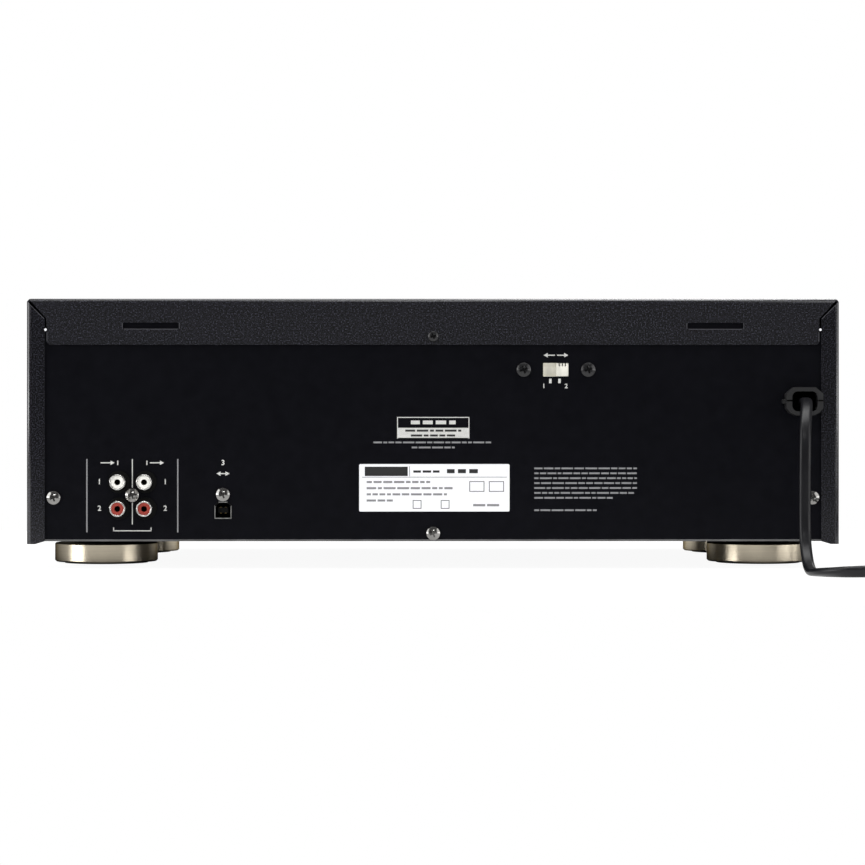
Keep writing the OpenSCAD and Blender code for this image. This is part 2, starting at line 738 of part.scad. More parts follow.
module selector_body() color("#ddd8c8") difference() {
  union() {
    along_y(panel_in - 1.2, panel_in) patch(selector_x, selector_z, [selector_screws + 9, selector_h + 7], 1);
    along_y(panel_in - 12, panel_in) patch(selector_x, selector_z, [selector_w + 8, selector_h + 5], 1);
  }
  along_y(panel_in - selector_deep, panel_y) patch(selector_x, selector_z, [selector_w, selector_h], 0.4);
  along_y(panel_in - 20, panel_y) for (side = [-1, 1])
    spot(selector_x + side * selector_screws / 2, selector_z, screw_d + 2 * screw_gap);
}

module selector_slider() color("#e6e1d2") along_y(panel_in - selector_deep + 0.05, panel_y - 0.2) difference() {
  patch(slider_x, selector_z, [slider_w, selector_h - 2 * slider_gap], 0.3);
  for (x = [-1, 0, 1])
    translate([slider_x + x * 1.6, selector_z + selector_h / 2 - 0.8]) square([0.6, 2], center = true);
}

module bush_outline(w, h) polygon([
  [-w / 2 + 4, h / 2], [w / 2 - 4, h / 2], [w / 2, h / 2 - 3.4], [w / 2, -h / 2 + 4],
  [w / 2 - 2, -h / 2 + 1.4], [w / 2 - 5, -h / 2], [-w / 2 + 5, -h / 2], [-w / 2 + 2, -h / 2 + 1.4],
  [-w / 2, -h / 2 + 4], [-w / 2, h / 2 - 3.4]]);

module cord_bush() color("#19191b") difference() {
  union() {
    along_y(panel_y, panel_y + bush_out) translate([bush_x, bush_z]) bush_outline(bush_w, bush_h);
    along_y(panel_y, panel_y + bush_out - 2) patch(bush_x + bush_w / 2, bush_z, [3, 2.4], 0.3);
    along_y(panel_in - 9, panel_y + over) patch(bush_x, bush_z, [bush_w - 4, bush_h - 2.6], 3);
  }
  along_y(panel_y + bush_seat, panel_y + bush_out + over)
    patch(bush_x, bush_z, [bush_w - 2.8 * bush_wall, bush_h - 2 * bush_wall], 3);
}

// Mains cord

// A ring of points round a middle line, wide along one direction and thin along the other.
function cord_ring(at, heading, across, sides) =
  let (
    along = heading / norm(heading), flat = across - (across * along) * along,
    wide = flat / norm(flat), thin = cross(along, wide)
  ) [for (i = [0:sides - 1]) let (turn = 360 * i / sides)
    at + wide * cord_w / 2 * cos(turn) + thin * cord_t / 2 * sin(turn)];

// Joins rings of points into one closed tube.
module tube(rings) {
  sides = len(rings[0]);
  last = len(rings) - 1;
  polyhedron(
    points = [for (ring = rings) each ring],
    faces = [
      for (j = [0:last - 1], i = [0:sides - 1]) each let (a = j * sides + i, b = j * sides + (i + 1) % sides)
        [[a, b, b + sides], [a, b + sides, a + sides]],
      for (i = [1:sides - 2]) [0, i + 1, i],
      for (i = [1:sides - 2]) [last * sides, last * sides + i, last * sides + i + 1]
    ]
  );
}

function route_heading(i) =
  let (last = len(cord_route) - 1)
  i == 0 || i == last - 1 || i == last ? cord_route[min(i + 1, last)][0] - cord_route[min(i, last - 1)][0]
    : cord_route[i + 1][0] - cord_route[i - 1][0];

// A point of the coil after a number of turns: in on the lower layer, a climb, and out on the upper one.
function coil_point(turns) =
  let (
    r = coil_r - coil_pitch * min(turns, coil_turns - turns),
    rise = min(1, max(0, (turns - coil_turns / 2) / coil_climb + 0.5)),
    angle = 90 + 360 * turns
  ) [coil_centre[0] + r * cos(angle), coil_centre[1] + r * sin(angle), coil_entry[2] + coil_layer * rise];

coil_count = round(coil_turns * coil_steps);
coil_end = coil_point(coil_turns);
coil_path = concat(
  [coil_entry],
  [for (i = [0:coil_count]) coil_point(coil_turns * i / coil_count)],
  [[coil_end[0], coil_end[1] - 9, plug_z + 0.6], [coil_end[0], coil_end[1] - plug_tail + cord_w, plug_z],
    [coil_end[0], coil_end[1] - plug_tail, plug_z]]
);

function coil_heading(i) =
  let (last = len(coil_path) - 1)
  i == 0 ? [-1, 0, 0] : i >= last - 1 ? [0, -1, 0] : coil_path[i + 1] - coil_path[i - 1];

// Least distance between the skins of turns that lie side by side or on each other.
function coil_gap() =
  let (turns = [for (i = [0:coil_count]) coil_point(coil_turns * i / coil_count) - concat(coil_centre, 0)])
  min([for (i = [0:coil_count], j = [i + round(coil_steps * 0.7):coil_count])
    if (j <= coil_count && norm(turns[i] - turns[j]) < 12)
      max(abs(norm([turns[i][0], turns[i][1]]) - norm([turns[j][0], turns[j][1]])) - cord_t,
        abs(turns[i][2] - turns[j][2]) - cord_w)]);

module power_cord() color("#202023")
  tube([for (i = [0:len(cord_route) - 1])
    cord_ring(cord_route[i][0], route_heading(i), cord_route[i][1], cord_sides)]);

module cord_coil() {
  echo("least gap between turns of the coil", coil_gap());
  color("#202023")
    tube([for (i = [0:len(coil_path) - 1]) cord_ring(coil_path[i], coil_heading(i), [0, 0, 1], coil_sides)]);
}

module power_plug() color("#1c1c1e") translate([coil_end[0], coil_end[1] - plug_tail, plug_z]) {
  rotate([90, 0, 0]) cylinder(r1 = 4.2, r2 = 6, h = relief_l);
  along_y(-relief_l - plug_l, -relief_l) rounded(plug_size, 4);
  for (side = [-1, 1]) along_y(-relief_l - plug_l - 16, -relief_l - plug_l)
    translate([side * 6.35, 0]) square([1.5, 6.3], center = true);
}

// Inside the case

// A block about the middle, between two heights.
module block(size, from, to) translate([-size[0] / 2, -size[1] / 2, from]) cube([size[0], size[1], to - from]);

module mains_transformer() color("#7d7467") translate([transformer_side_in - half_w, 0, floor_top]) union() {
  block(transformer_base, 0, transformer_base[2]);
  block(transformer_core, transformer_base[2], transformer_core[2]);
  block(transformer_coil, coil_z, transformer_coil[2]);
}

module capacitor(at, size) translate(concat(at, board_top - 0.1)) cylinder(d = size[0], h = size[1]);

module chip(at, size) translate(concat(at, board_z)) cube([size[0], size[1], board_t + size[2]]);

// The place of one of a row of parts: the row gives the first one's place and the step along X.
function row_place(corner, row, i) = corner + [row[0] + i * row[2], row[1]];

module bare_board(area) difference() {
  box(concat(area[0], board_z), concat(area[1], board_top));
  for (p = board_posts(area)) translate([p[0], p[1], board_z - over])
    cylinder(d = screw_d + 2 * screw_gap, h = board_t + 2 * over);
}

module main_board() union() {
  bare_board(board_areas[0]);
  for (i = [0:4]) capacitor(row_place(main_board_at, signal_row, i), signal_capacitor);
  for (i = [0:3]) capacitor(row_place(main_board_at, small_row, i), small_capacitor);
  for (i = [0:1]) chip(row_place(main_board_at, amplifier_row, i), amplifier_chip);
  chip(main_board_at + processor_at, processor_chip);
}

module heat_sink(at) {
  for (i = [0:fin_count - 1]) chip(at + [i * fin_pitch, 0], concat(fin_size, heat_sink_h));
  chip(at + [0, (fin_size[1] - web_t) / 2], [(fin_count - 1) * fin_pitch + fin_size[0], web_t, heat_sink_h]);
}

module power_board() union() {
  bare_board(board_areas[1]);
  for (i = [0:1]) capacitor(row_place(power_board_at, power_row, i), power_capacitor);
  heat_sink(power_board_at + heat_sink_at);
}

function key_places() = concat(
  [for (side = [-1, 1], i = [0:key_count - 1]) [side * (key_x + i * key_pitch), key_z]],
  [[key_x + (key_count - 1) * key_pitch, record_z]]);

module pot(x) slab_pot(x) {
  square([pot_size[0], pot_size[0]], center = true);
  circle(d = pot_bush_d);
  circle(d = knob_shaft_d + 2 * bearing_gap);
}

module slab_pot(x) difference() {
  union() {
    slab(frame_in, frame_in + pot_size[1]) translate([x, knob_z]) children(0);
    slab(face_t - 1, frame_in + 1) translate([x, knob_z]) children(1);
  }
  slab(0, frame_in + pot_size[1] - 1) translate([x, knob_z]) children(2);
}

module front_board() union() {
  slab(front_board_in, front_board_in + board_t) translate([-front_board_half, front_board_low])
    square([2 * front_board_half, front_board_top - front_board_low]);
  slab(frame_in + 0.5, front_board_in + 0.5)
    patch(0, display_z, [display_w - 2 * display_lip - 3, display_h - 2 * display_lip - 1], 1);
  for (p = key_places()) {
    slab(front_board_in - switch_size[2], front_board_in + 0.5)
      translate(p) square([switch_size[0], switch_size[1]], center = true);
    slab(switch_tip_in, front_board_in) spot(p[0], p[1], 3.4);
  }
  edge = front_board_half - post_d;
  low = front_board_low + post_in;
  top = front_board_top - post_in;
  for (p = [[post_d + 2 - edge, low], [key_pitch + post_d, low], [-edge, top], [edge, top]])
    slab(frame_in, front_board_in + 0.5) spot(p[0], p[1], post_d);
}

module power_switch_box() difference() {
  slab(power_switch_in, power_switch_in + power_switch[1])
    translate([power_x - power_switch[0] / 2, floor_top])
      square([power_switch[0], power_z + key_stem / 2 + power_switch_wall - floor_top]);
  slab(power_switch_in - over, power_stem_in + power_travel + 1)
    translate([power_x, power_z]) square([key_stem + 1, key_stem + 1], center = true);
}

module circuit_boards() color("#2f5a3a") {
  main_board();
  power_board();
  front_board();
  for (x = [pitch_x, level_x]) pot(x);
  power_switch_box();
}

// Front

module panel_cuts() {
  for (p = key_places()) patch(p[0], p[1], [key_w + 2 * key_gap, key_h + 2 * key_gap], 1);
  for (deck = [-deck_x, deck_x]) patch(deck, eject_z, [eject_w + 2 * key_gap, eject_h + 2 * key_gap], 1);
  patch(power_x, power_z, [power_size[0] + 2 * key_gap, power_size[1] + 2 * key_gap], 1);
  for (x = [pitch_x, level_x]) spot(x, knob_z, pot_bush_d + 0.2);
  spot(mic_x, mic_z, mic_bush_d + 0.2);
}

module door_cuts() for (deck = [-deck_x, deck_x])
  patch(deck, door_mid, [2 * (frame_half + bezel_fit), frame_h + 2 * bezel_fit], 2.6);

module front_panel() color("#202124") slab(0, face_t) difference() {
  translate([0, (overall_h + cover_low) / 2]) rounded([case_w, overall_h - cover_low], 2);
  door_cuts();
  patch(0, display_z, [display_w + 0.2, display_h + 0.2], 1.6);
  panel_cuts();
}

module front_room(inset) translate([inset - inner_x, floor_top + inset])
  square([2 * (inner_x - inset), inner_top - floor_top - 2 * inset]);

// The middle of the front and the strip under the doors.
module frame_outline() {
  translate([-frame_mid, floor_top]) square([2 * frame_mid, inner_top - floor_top]);
  translate([-inner_x, floor_top]) square([2 * inner_x, strip_top - floor_top]);
}

module front_frame() color("#1b1b1d") difference() {
  union() {
    slab(face_t, frame_in) frame_outline();
    slab(frame_in - 0.5, frame_in + rim_h) intersection() {
      frame_outline();
      difference() {
        front_room(0);
        front_room(rim_t);
      }
    }
  }
  slab(0, frame_in + over) {
    patch(0, display_z, [display_w - 2 * display_lip, display_h - 2 * display_lip], 1);
    panel_cuts();
  }
}

// The frame that a door swings in, with the posts that carry the tape mechanism.
module door_frame(deck) difference() {
  union() {
    slab(0, mech_in) patch(deck, door_mid, [2 * frame_half, frame_h], 2.5);
    slab(face_t, frame_in)
      patch(deck, door_mid, [2 * (frame_half + bezel_flange[0]), frame_h + 2 * bezel_flange[1]], 1.5);
    for (side = [-1, 1], z = mech_post_z)
      slab(frame_in, mech_in) spot(deck + side * mech_post_x, z, mech_post_d);
  }
  slab(-over, mech_in + over) patch(deck, door_mid, [bezel_w, bezel_h], 0.8);
  slab(frame_in, mech_in + over) translate([deck, door_z]) square([bezel_w, 2 * bezel_t + 6], center = true);
  along_x(deck - frame_half - over, deck + frame_half + over)
    spot(face_y + hinge_in, hinge_z, hinge_pin_d + 2 * bearing_gap);
  for (side = [-1, 1], z = mech_post_z)
    slab(mech_in - 7, mech_in + over) spot(deck + side * mech_post_x, z, screw_d + 2 * screw_gap);
}

module door_frames() color("#1b1b1d") for (deck = [-deck_x, deck_x]) door_frame(deck);

module display_window() color("#101214") slab(lens_in, face_t)
  patch(0, display_z, [display_w, display_h], 1.5);

module mic_jack() color("#2b2b2d") difference() {
  union() {
    slab(frame_in, frame_in + mic_depth - 5) patch(mic_x, mic_z, [15, 15], 1);
    slab(-2.4, frame_in + 1) spot(mic_x, mic_z, mic_bush_d);
    slab(-2, 0) spot(mic_x, mic_z, mic_nut_d);
  }
  slab(-3, mic_depth - 2.4) spot(mic_x, mic_z, mic_bore_d);
}

// A cap that stands out of the panel, a flange that keeps it in and a stem that works its switch.
module key(x, z, size, stem) {
  slab(-key_out, frame_in + 0.3) patch(x, z, size, 0.7);
  slab(frame_in + 0.2, frame_in + 0.2 + key_flange[2])
    translate([x, z]) square([size[0] + 2 * key_flange[0], size[1] + 2 * key_flange[1]], center = true);
  slab(frame_in + 1, stem) translate([x, z]) square(key_stem, center = true);
}

module transport_key(side, place) color("#3a3a3d")
  key(side * (key_x + place * key_pitch), key_z, [key_w, key_h], stem_end);

module record_key() color("#3a3a3d")
  key(key_x + (key_count - 1) * key_pitch, record_z, [key_w, key_h], stem_end);

module power_button() color("#3a3a3d") key(power_x, power_z, power_size, power_stem_in);

module eject_button(deck) color("#3a3a3d")
  key(deck, eject_z, [eject_w, eject_h], mech_in - eject_travel - 0.6);

module knob(x, d) color("#2c2c30") translate([x, face_y, knob_z]) rotate([90, 0, 0]) difference() {
  union() {
    rotate_extrude() polygon([[0, 1], [d / 2, 1], [d / 2, 3.4], [d / 2 - 1, 4], [d / 2 - 1.4, knob_out - 1],
      [d / 2 - 2.4, knob_out], [0, knob_out]]);
    translate([0, 0, -frame_in - pot_size[1] + 1.5]) cylinder(d = knob_shaft_d, h = frame_in + pot_size[1]);
  }
  translate([0, d * 0.33, knob_out]) cube([1.2, d * 0.22, 1], center = true);
}

// Doors and tape mechanisms; each module is drawn at the middle of its deck.

module door(deck) color("#1f1f22") difference() {
  union() {
    slab(0, door_t) patch(deck, (hinge_z + door_top) / 2, [door_w, door_top - hinge_z], 1.5);
    along_x(deck - door_w / 2, deck + door_w / 2) spot(face_y + hinge_in, hinge_z, 2 * door_edge_r);
    along_x(deck - door_w / 2 - hinge_pin_l, deck + door_w / 2 + hinge_pin_l)
      spot(face_y + hinge_in, hinge_z, hinge_pin_d);
    for (side = [-1, 1]) {
      rail = [deck + side * holder_w / 2, deck + side * (holder_w / 2 + rail_t)];
      lip = [deck + side * (holder_w / 2 + rail_t), deck + side * (holder_w / 2 - lip_w)];
      ledge = [deck + side * (holder_w / 2 + rail_t), deck + side * (holder_w / 2 - ledge_w)];
      rail_h = rail_top - rail_low;
      slab(door_t - 0.5, lip_in + lip_t) translate([min(rail), rail_low]) square([rail_t, rail_h]);
      slab(lip_in, lip_in + lip_t) translate([min(lip), rail_low]) square([lip_w + rail_t, rail_h]);
      slab(door_t - 0.5, lip_in + lip_t) translate([min(ledge), rail_low]) square([ledge_w + rail_t, ledge_t]);
    }
  }
  slab(-over, door_t - 1) patch(deck, door_mid, [window_w, window_h], 2);
  slab(-over, door_t + over) patch(deck, door_mid, [window_w - 2 * window_lip, window_h - 2 * window_lip], 1);
}

module door_window(deck) color("#4a5258") slab(lens_in, door_t - 1)
  patch(deck, door_mid, [window_w - 2 * window_fit, window_h - 2 * window_fit], 2 - window_fit);

module mechanism_plate(deck) difference() {
  union() {
    slab(mech_in, mech_back) {
      translate([deck - mech_half, mech_low]) square([2 * mech_half, mech_top - mech_low]);
      translate([deck + tongue_x[0], tongue_low])
        square([tongue_x[1] - tongue_x[0], mech_low - tongue_low + over]);
      translate([deck - eject_tab[0] / 2, eject_z - eject_tab[1] / 2])
        square([eject_tab[0], tongue_low - eject_z + eject_tab[1]]);
    }
    slab(mech_in, flywheel_in - 0.6) spot(deck + capstan_x, capstan_z, bearing_d);
    for (side = [-1, 1]) {
      slab(carriage_in - 1, mech_in + 0.5) spot(deck + side * guide_x, guide_z, guide_d);
      slab(carriage_in - 1, carriage_in - 0.3) spot(deck + side * guide_x, guide_z, guide_d + 2);
      slab(carriage_in + carriage_t + 0.3, mech_in + 0.5) spot(deck + side * guide_x, guide_z, guide_d + 2.4);
    }
    slab(arm_in - 0.4, mech_in + 0.5) spot(deck + pinch_pivot[0], pinch_pivot[1], 3);
    slab(arm_in + arm_t + 2.1, mech_in + 0.5) spot(deck + pinch_pivot[0], pinch_pivot[1], 6);
  }
  for (side = [-1, 1]) {
    slab(mech_in - over, mech_back + over)
      spot(deck + side * hub_pitch / 2, hub_z, spindle_d + 2 * bearing_gap);
    for (z = mech_post_z)
      slab(mech_in - over, mech_back + over) spot(deck + side * mech_post_x, z, screw_d + 2 * screw_gap);
  }
  slab(mech_in - over, flywheel_in) spot(deck + capstan_x, capstan_z, capstan_d + 2 * bearing_gap);
}

module mechanism_plates() color("#a4a7ab") for (deck = [-deck_x, deck_x]) mechanism_plate(deck);

module motors() color("#9a9ca0") for (deck = [-deck_x, deck_x]) difference() {
  slab(mech_back, mech_back + motor_l) spot(deck + motor_x, motor_z, motor_d);
  slab(mech_back + 4, mech_back + motor_l + over)
    spot(deck + motor_x, motor_z, motor_shaft_d + 2 * bearing_gap);
}

module drive_belt(deck) slab(belt_in, belt_in + belt_w) difference() {
  wheel = [deck + capstan_x, capstan_z];
  pulley = [deck + motor_x, motor_z];
  belt_line(wheel, flywheel_d / 2 + belt_gap + belt_t, pulley, pulley_d / 2 + belt_gap + belt_t);
  belt_line(wheel, flywheel_d / 2 + belt_gap, pulley, pulley_d / 2 + belt_gap);
}

module drive_belts() color("#1a1a1a") for (deck = [-deck_x, deck_x]) drive_belt(deck);

module spindle(x) color("#d8d8d4") union() {
  slab(hub_in, hub_in + hub_l) spot(x, hub_z, hub_d);
  for (turn = [0:60:300]) slab(hub_in + 2, hub_in + hub_l)
    translate([x, hub_z]) rotate(turn) translate([hub_d / 2 + 0.3, 0]) square([1.6, 1.4], center = true);
  slab(hub_in + 1, reel_in + reel_t) spot(x, hub_z, spindle_d);
  slab(hub_in + hub_l - 0.5, mech_in - 0.4) spot(x, hub_z, spindle_d + 3);
  slab(reel_in, reel_in + reel_t) spot(x, hub_z, reel_d);
}

module capstan(deck) color("#c2c4c6") union() {
  slab(capstan_tip_in, wheel_back) spot(deck + capstan_x, capstan_z, capstan_d);
  slab(flywheel_in, wheel_back) spot(deck + capstan_x, capstan_z, flywheel_d);
}

module motor_pulley(deck) color("#c9a94f") union() {
  slab(mech_back + 5, belt_in + belt_w + 1.5) spot(deck + motor_x, motor_z, motor_shaft_d);
  slab(belt_in - 1, belt_in + belt_w + 1) spot(deck + motor_x, motor_z, pulley_d);
  for (z = [belt_in - 1.2, belt_in + belt_w + 0.4])
    slab(z, z + 0.8) spot(deck + motor_x, motor_z, pulley_d + 2 * pulley_flange + 2 * belt_t);
}

module head_carriage(deck) color("#b6b8ba") difference() {
  union() {
    slab(carriage_in, carriage_in + carriage_t)
      translate([deck - carriage_half, carriage_low]) square([2 * carriage_half, carriage_top - carriage_low]);
    slab(head_in, head_in + head_size[1])
      translate([deck - head_size[0] / 2, head_top - head_size[2]]) square([head_size[0], head_size[2]]);
    slab(head_in + head_size[1] - 0.5, carriage_in + 0.5)
      translate([deck - 5, head_top - head_size[2]]) square([10, 7]);
  }
  for (side = [-1, 1]) slab(carriage_in - over, carriage_in + carriage_t + over)
    link([deck + side * guide_x, guide_z], [deck + side * guide_x, guide_z - head_travel], guide_d / 2 + 0.1);
}

module pinch_arm(deck) color("#8f9296") difference() {
  at = [deck, 0];
  union() {
    slab(arm_in, arm_in + arm_t) link(at + pinch_pivot, at + pinch_rest, pinch_r);
    slab(arm_in, arm_in + arm_t + 1.8) spot(deck + pinch_pivot[0], pinch_pivot[1], 2 * pinch_r);
    slab(roller_in - 0.4, arm_in + 0.5) spot(deck + pinch_rest[0], pinch_rest[1], axle_d);
  }
  slab(arm_in - over, arm_in + arm_t + 3) spot(deck + pinch_pivot[0], pinch_pivot[1], 3 + 2 * bearing_gap);
}

module pinch_roller(deck) color("#222222") slab(roller_in, roller_in + roller_w) difference() {
  spot(deck + pinch_rest[0], pinch_rest[1], roller_d);
  spot(deck + pinch_rest[0], pinch_rest[1], axle_d + 2 * bearing_gap);
}

bottom_chassis();
top_cover();
rear_panel();
front_panel();
front_frame();
feet();
foot_pads();
black_screws();
zinc_screws();
jack_block();
jack_shells();
jack_inserts_white();
jack_inserts_red();
usb_socket();
selector_body();
cord_bush();
power_cord();
cord_coil();
power_plug();
mains_transformer();
circuit_boards();
door_frames();
display_window();
mic_jack();
mechanism_plates();
motors();
drive_belts();
door(-deck_x);  // door_left
door(deck_x);  // door_right
door_window(-deck_x);  // door_window_left
door_window(deck_x);  // door_window_right
spindle(-deck_x - hub_pitch / 2);  // supply_spindle_left
spindle(-deck_x + hub_pitch / 2);  // take_up_spindle_left
spindle(deck_x - hub_pitch / 2);  // supply_spindle_right
spindle(deck_x + hub_pitch / 2);  // take_up_spindle_right
capstan(-deck_x);  // capstan_left
capstan(deck_x);  // capstan_right
motor_pulley(-deck_x);  // motor_pulley_left
motor_pulley(deck_x);  // motor_pulley_right
head_carriage(-deck_x);  // head_carriage_left
head_carriage(deck_x);  // head_carriage_right
pinch_arm(-deck_x);  // pinch_arm_left
pinch_arm(deck_x);  // pinch_arm_right
pinch_roller(-deck_x);  // pinch_roller_left
pinch_roller(deck_x);  // pinch_roller_right
power_button();
eject_button(-deck_x);  // eject_button_left
eject_button(deck_x);  // eject_button_right
transport_key(-1, 3);  // rewind_key_left
transport_key(-1, 2);  // play_key_left
transport_key(-1, 1);  // forward_key_left
transport_key(-1, 0);  // stop_key_left
transport_key(1, 0);  // rewind_key_right
transport_key(1, 1);  // play_key_right
transport_key(1, 2);  // forward_key_right
transport_key(1, 3);  // stop_key_right
record_key();
knob(level_x, level_d);  // record_level_knob
knob(pitch_x, pitch_d);  // pitch_knob
selector_slider();
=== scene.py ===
"""Looks of a double cassette deck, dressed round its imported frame.

The row frame is in metres: X right seen from the front, Y to the rear panel, Z up.
"""
import json
import math
import random

import bmesh
import bpy
from mathutils import Matrix, Vector


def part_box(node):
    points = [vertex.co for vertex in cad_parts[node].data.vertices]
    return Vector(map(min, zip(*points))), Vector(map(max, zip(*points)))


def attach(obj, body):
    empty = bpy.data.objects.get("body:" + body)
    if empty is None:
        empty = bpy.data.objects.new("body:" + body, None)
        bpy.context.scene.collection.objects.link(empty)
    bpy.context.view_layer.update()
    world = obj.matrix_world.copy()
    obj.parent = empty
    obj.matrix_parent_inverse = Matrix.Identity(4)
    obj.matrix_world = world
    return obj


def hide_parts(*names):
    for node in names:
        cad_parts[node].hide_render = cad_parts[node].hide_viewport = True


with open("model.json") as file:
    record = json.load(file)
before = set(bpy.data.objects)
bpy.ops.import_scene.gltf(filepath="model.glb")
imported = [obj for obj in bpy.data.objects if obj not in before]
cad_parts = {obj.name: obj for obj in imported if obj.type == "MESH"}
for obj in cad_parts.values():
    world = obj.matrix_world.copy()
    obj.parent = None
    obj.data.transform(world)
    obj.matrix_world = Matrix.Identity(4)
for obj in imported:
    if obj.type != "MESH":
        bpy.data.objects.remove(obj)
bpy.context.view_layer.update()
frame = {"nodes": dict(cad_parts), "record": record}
nodes = frame["nodes"]
MM = 0.001
REAR, FRONT = 1, -1

# Places taken from the frame
case_low, case_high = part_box("top_cover")
flange_y = case_high.y
panel_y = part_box("rear_panel")[1].y
face_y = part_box("front_panel")[0].y


def middle(node):
    low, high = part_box(node)
    return (low + high) / 2


# Camera: level, behind the deck, at the photograph's distance and height
CAMERA_DISTANCE, CAMERA_HEIGHT = 1.4, 0.0734
CAMERA_SIDE, CAMERA_AIM = 0.008, 0.0004
SENSOR_WIDTH, LENS = 36, 108.84
camera = bpy.data.objects.new("camera", bpy.data.cameras.new("camera"))
camera.data.sensor_width = SENSOR_WIDTH
camera.data.lens = LENS
camera.location = (CAMERA_SIDE, panel_y + CAMERA_DISTANCE, CAMERA_HEIGHT)
camera_turn = math.atan2(CAMERA_SIDE - CAMERA_AIM, CAMERA_DISTANCE)
camera.rotation_euler = (math.pi / 2, 0, math.pi - camera_turn)
bpy.context.scene.collection.objects.link(camera)
bpy.context.scene.camera = camera
bpy.context.scene.view_settings.view_transform = "Standard"


# Finishes

def finish(name, colour, roughness, **sockets):
    """A material whose even values sit on the shader itself."""
    material = bpy.data.materials.new(name)
    material.use_nodes = True
    inputs = material.node_tree.nodes["Principled BSDF"].inputs
    inputs["Base Color"].default_value = (*colour, 1)
    inputs["Roughness"].default_value = roughness
    for socket, value in sockets.items():
        inputs[socket.replace("_", " ")].default_value = value
    return material


def add_node(material, kind, links=(), **values):
    """A node with the given input values, linked from other nodes' outputs."""
    tree = material.node_tree
    node = tree.nodes.new(kind)
    for socket, value in values.items():
        node.inputs[socket.replace("_", " ")].default_value = value
    for output, socket in links:
        tree.links.new(output, node.inputs[socket])
    return node


def to_shader(material, output, socket):
    tree = material.node_tree
    tree.links.new(output, tree.nodes["Principled BSDF"].inputs[socket])


def noise(material, size, detail=2.0, stretch=(1, 1, 1)):
    """Noise whose grains are about size metres across, drawn out along an axis by its stretch."""
    coords = add_node(material, "ShaderNodeTexCoord")
    scale = [1 / (size * s) for s in stretch]
    mapping = add_node(material, "ShaderNodeMapping", [(coords.outputs["Object"], "Vector")], Scale=scale)
    placed = [(mapping.outputs["Vector"], "Vector")]
    grains = add_node(material, "ShaderNodeTexNoise", placed, Scale=1.0, Detail=detail)
    return grains.outputs["Fac"]


def colour_between(material, value, dark, light, low=0.3, high=0.7):
    ramp = add_node(material, "ShaderNodeValToRGB", [(value, "Fac")])
    ramp.color_ramp.elements[0].position = low
    ramp.color_ramp.elements[0].color = (*dark, 1)
    ramp.color_ramp.elements[1].position = high
    ramp.color_ramp.elements[1].color = (*light, 1)
    to_shader(material, ramp.outputs["Color"], "Base Color")


def roughness_between(material, value, smooth, rough):
    spread = add_node(material, "ShaderNodeMapRange", [(value, "Value")], To_Min=smooth, To_Max=rough)
    to_shader(material, spread.outputs["Result"], "Roughness")


def bump(material, value, depth, strength=1.0):
    raised = add_node(material, "ShaderNodeBump", [(value, "Height")], Strength=strength, Distance=depth)
    to_shader(material, raised.outputs["Normal"], "Normal")


def shade(colour, factor):
    return tuple(c * factor for c in colour)


def powder_coat(name, gloss, painted_shade=1.0):
    """Black paint with a fine grain of paler specks; a factor below 1 darkens it all as painted shade."""
    ground, speck = (0.0012, 0.0012, 0.002), shade((0.0285, 0.0285, 0.040), painted_shade)
    material = finish(name, shade((0.009, 0.009, 0.012), painted_shade), 0.26, Specular_IOR_Level=gloss)
    grains = noise(material, 0.75 * MM, 0.5)
    colour_between(material, grains, ground, speck, 0.425, 0.725)
    bump(material, grains, 0.05 * MM, 0.4)
    return material


def smooth_paint():
    material = finish("smooth_paint", (0.004, 0.004, 0.005), 0.42, Specular_IOR_Level=0.05)
    clouds = noise(material, 6 * MM, 4)
    colour_between(material, clouds, (0.0030, 0.0031, 0.0046), (0.0040, 0.0041, 0.0060))
    roughness_between(material, clouds, 0.38, 0.48)
    bump(material, noise(material, 0.5 * MM), 0.02 * MM, 0.3)
    return material


def plated_steel(name, colour, smooth, rough, size=1.5 * MM):
    material = finish(name, colour, smooth, Metallic=1.0)
    clouds = noise(material, size, 3)
    colour_between(material, clouds, shade(colour, 0.82), shade(colour, 1.12))
    roughness_between(material, clouds, smooth, rough)
    bump(material, noise(material, 0.25 * MM), 0.01 * MM, 0.3)
    return material


def brushed_metal(name, colour, smooth, rough, stretch):
    material = finish(name, colour, smooth, Metallic=1.0)
    hairs = noise(material, 0.12 * MM, 3, stretch)
    colour_between(material, hairs, shade(colour, 0.85), shade(colour, 1.12))
    roughness_between(material, hairs, smooth, rough)
    bump(material, hairs, 0.012 * MM, 0.5)
    return material


def turned_metal(name, colour, roughness, **sockets):
    """Metal turned about an upright axis, whose fine lines spread reflections up and down."""
    material = finish(name, colour, roughness, Metallic=1.0, Anisotropic=0.55, **sockets)
    lines = noise(material, 0.25 * MM, 2, (200, 200, 1))
    colour_between(material, lines, shade(colour, 0.93), shade(colour, 1.06))
    bump(material, lines, 0.012 * MM, 0.5)
    upright = add_node(material, "ShaderNodeCombineXYZ", X=0.02, Y=0.02, Z=1.0)
    to_shader(material, upright.outputs["Vector"], "Tangent")
    return material


def moulded(name, colour, roughness, grain=0.35 * MM, depth=0.03 * MM, **sockets):
    """Plastic with the fine grain of its mould and slight clouds of colour."""
    material = finish(name, colour, roughness, **sockets)
    clouds = noise(material, 5 * MM, 4)
    colour_between(material, clouds, shade(colour, 0.88), shade(colour, 1.12))
    roughness_between(material, clouds, roughness * 0.9, roughness * 1.1)
    bump(material, noise(material, grain), depth, 0.4)
    return material


def clear_plastic(name, colour, alpha):
    material = finish(name, colour, 0.06, Alpha=alpha, IOR=1.9)
    roughness_between(material, noise(material, 9 * MM, 3), 0.03, 0.09)
    return material


def laminations():
    """Stacked iron sheets with a brown varnish."""
    material = finish("laminations", (0.10, 0.07, 0.05), 0.5, Metallic=0.6)
    sheets = noise(material, 0.5 * MM, 1, (40, 1, 40))
    colour_between(material, sheets, (0.05, 0.035, 0.025), (0.16, 0.12, 0.09))
    bump(material, sheets, 0.1 * MM, 0.5)
    return material


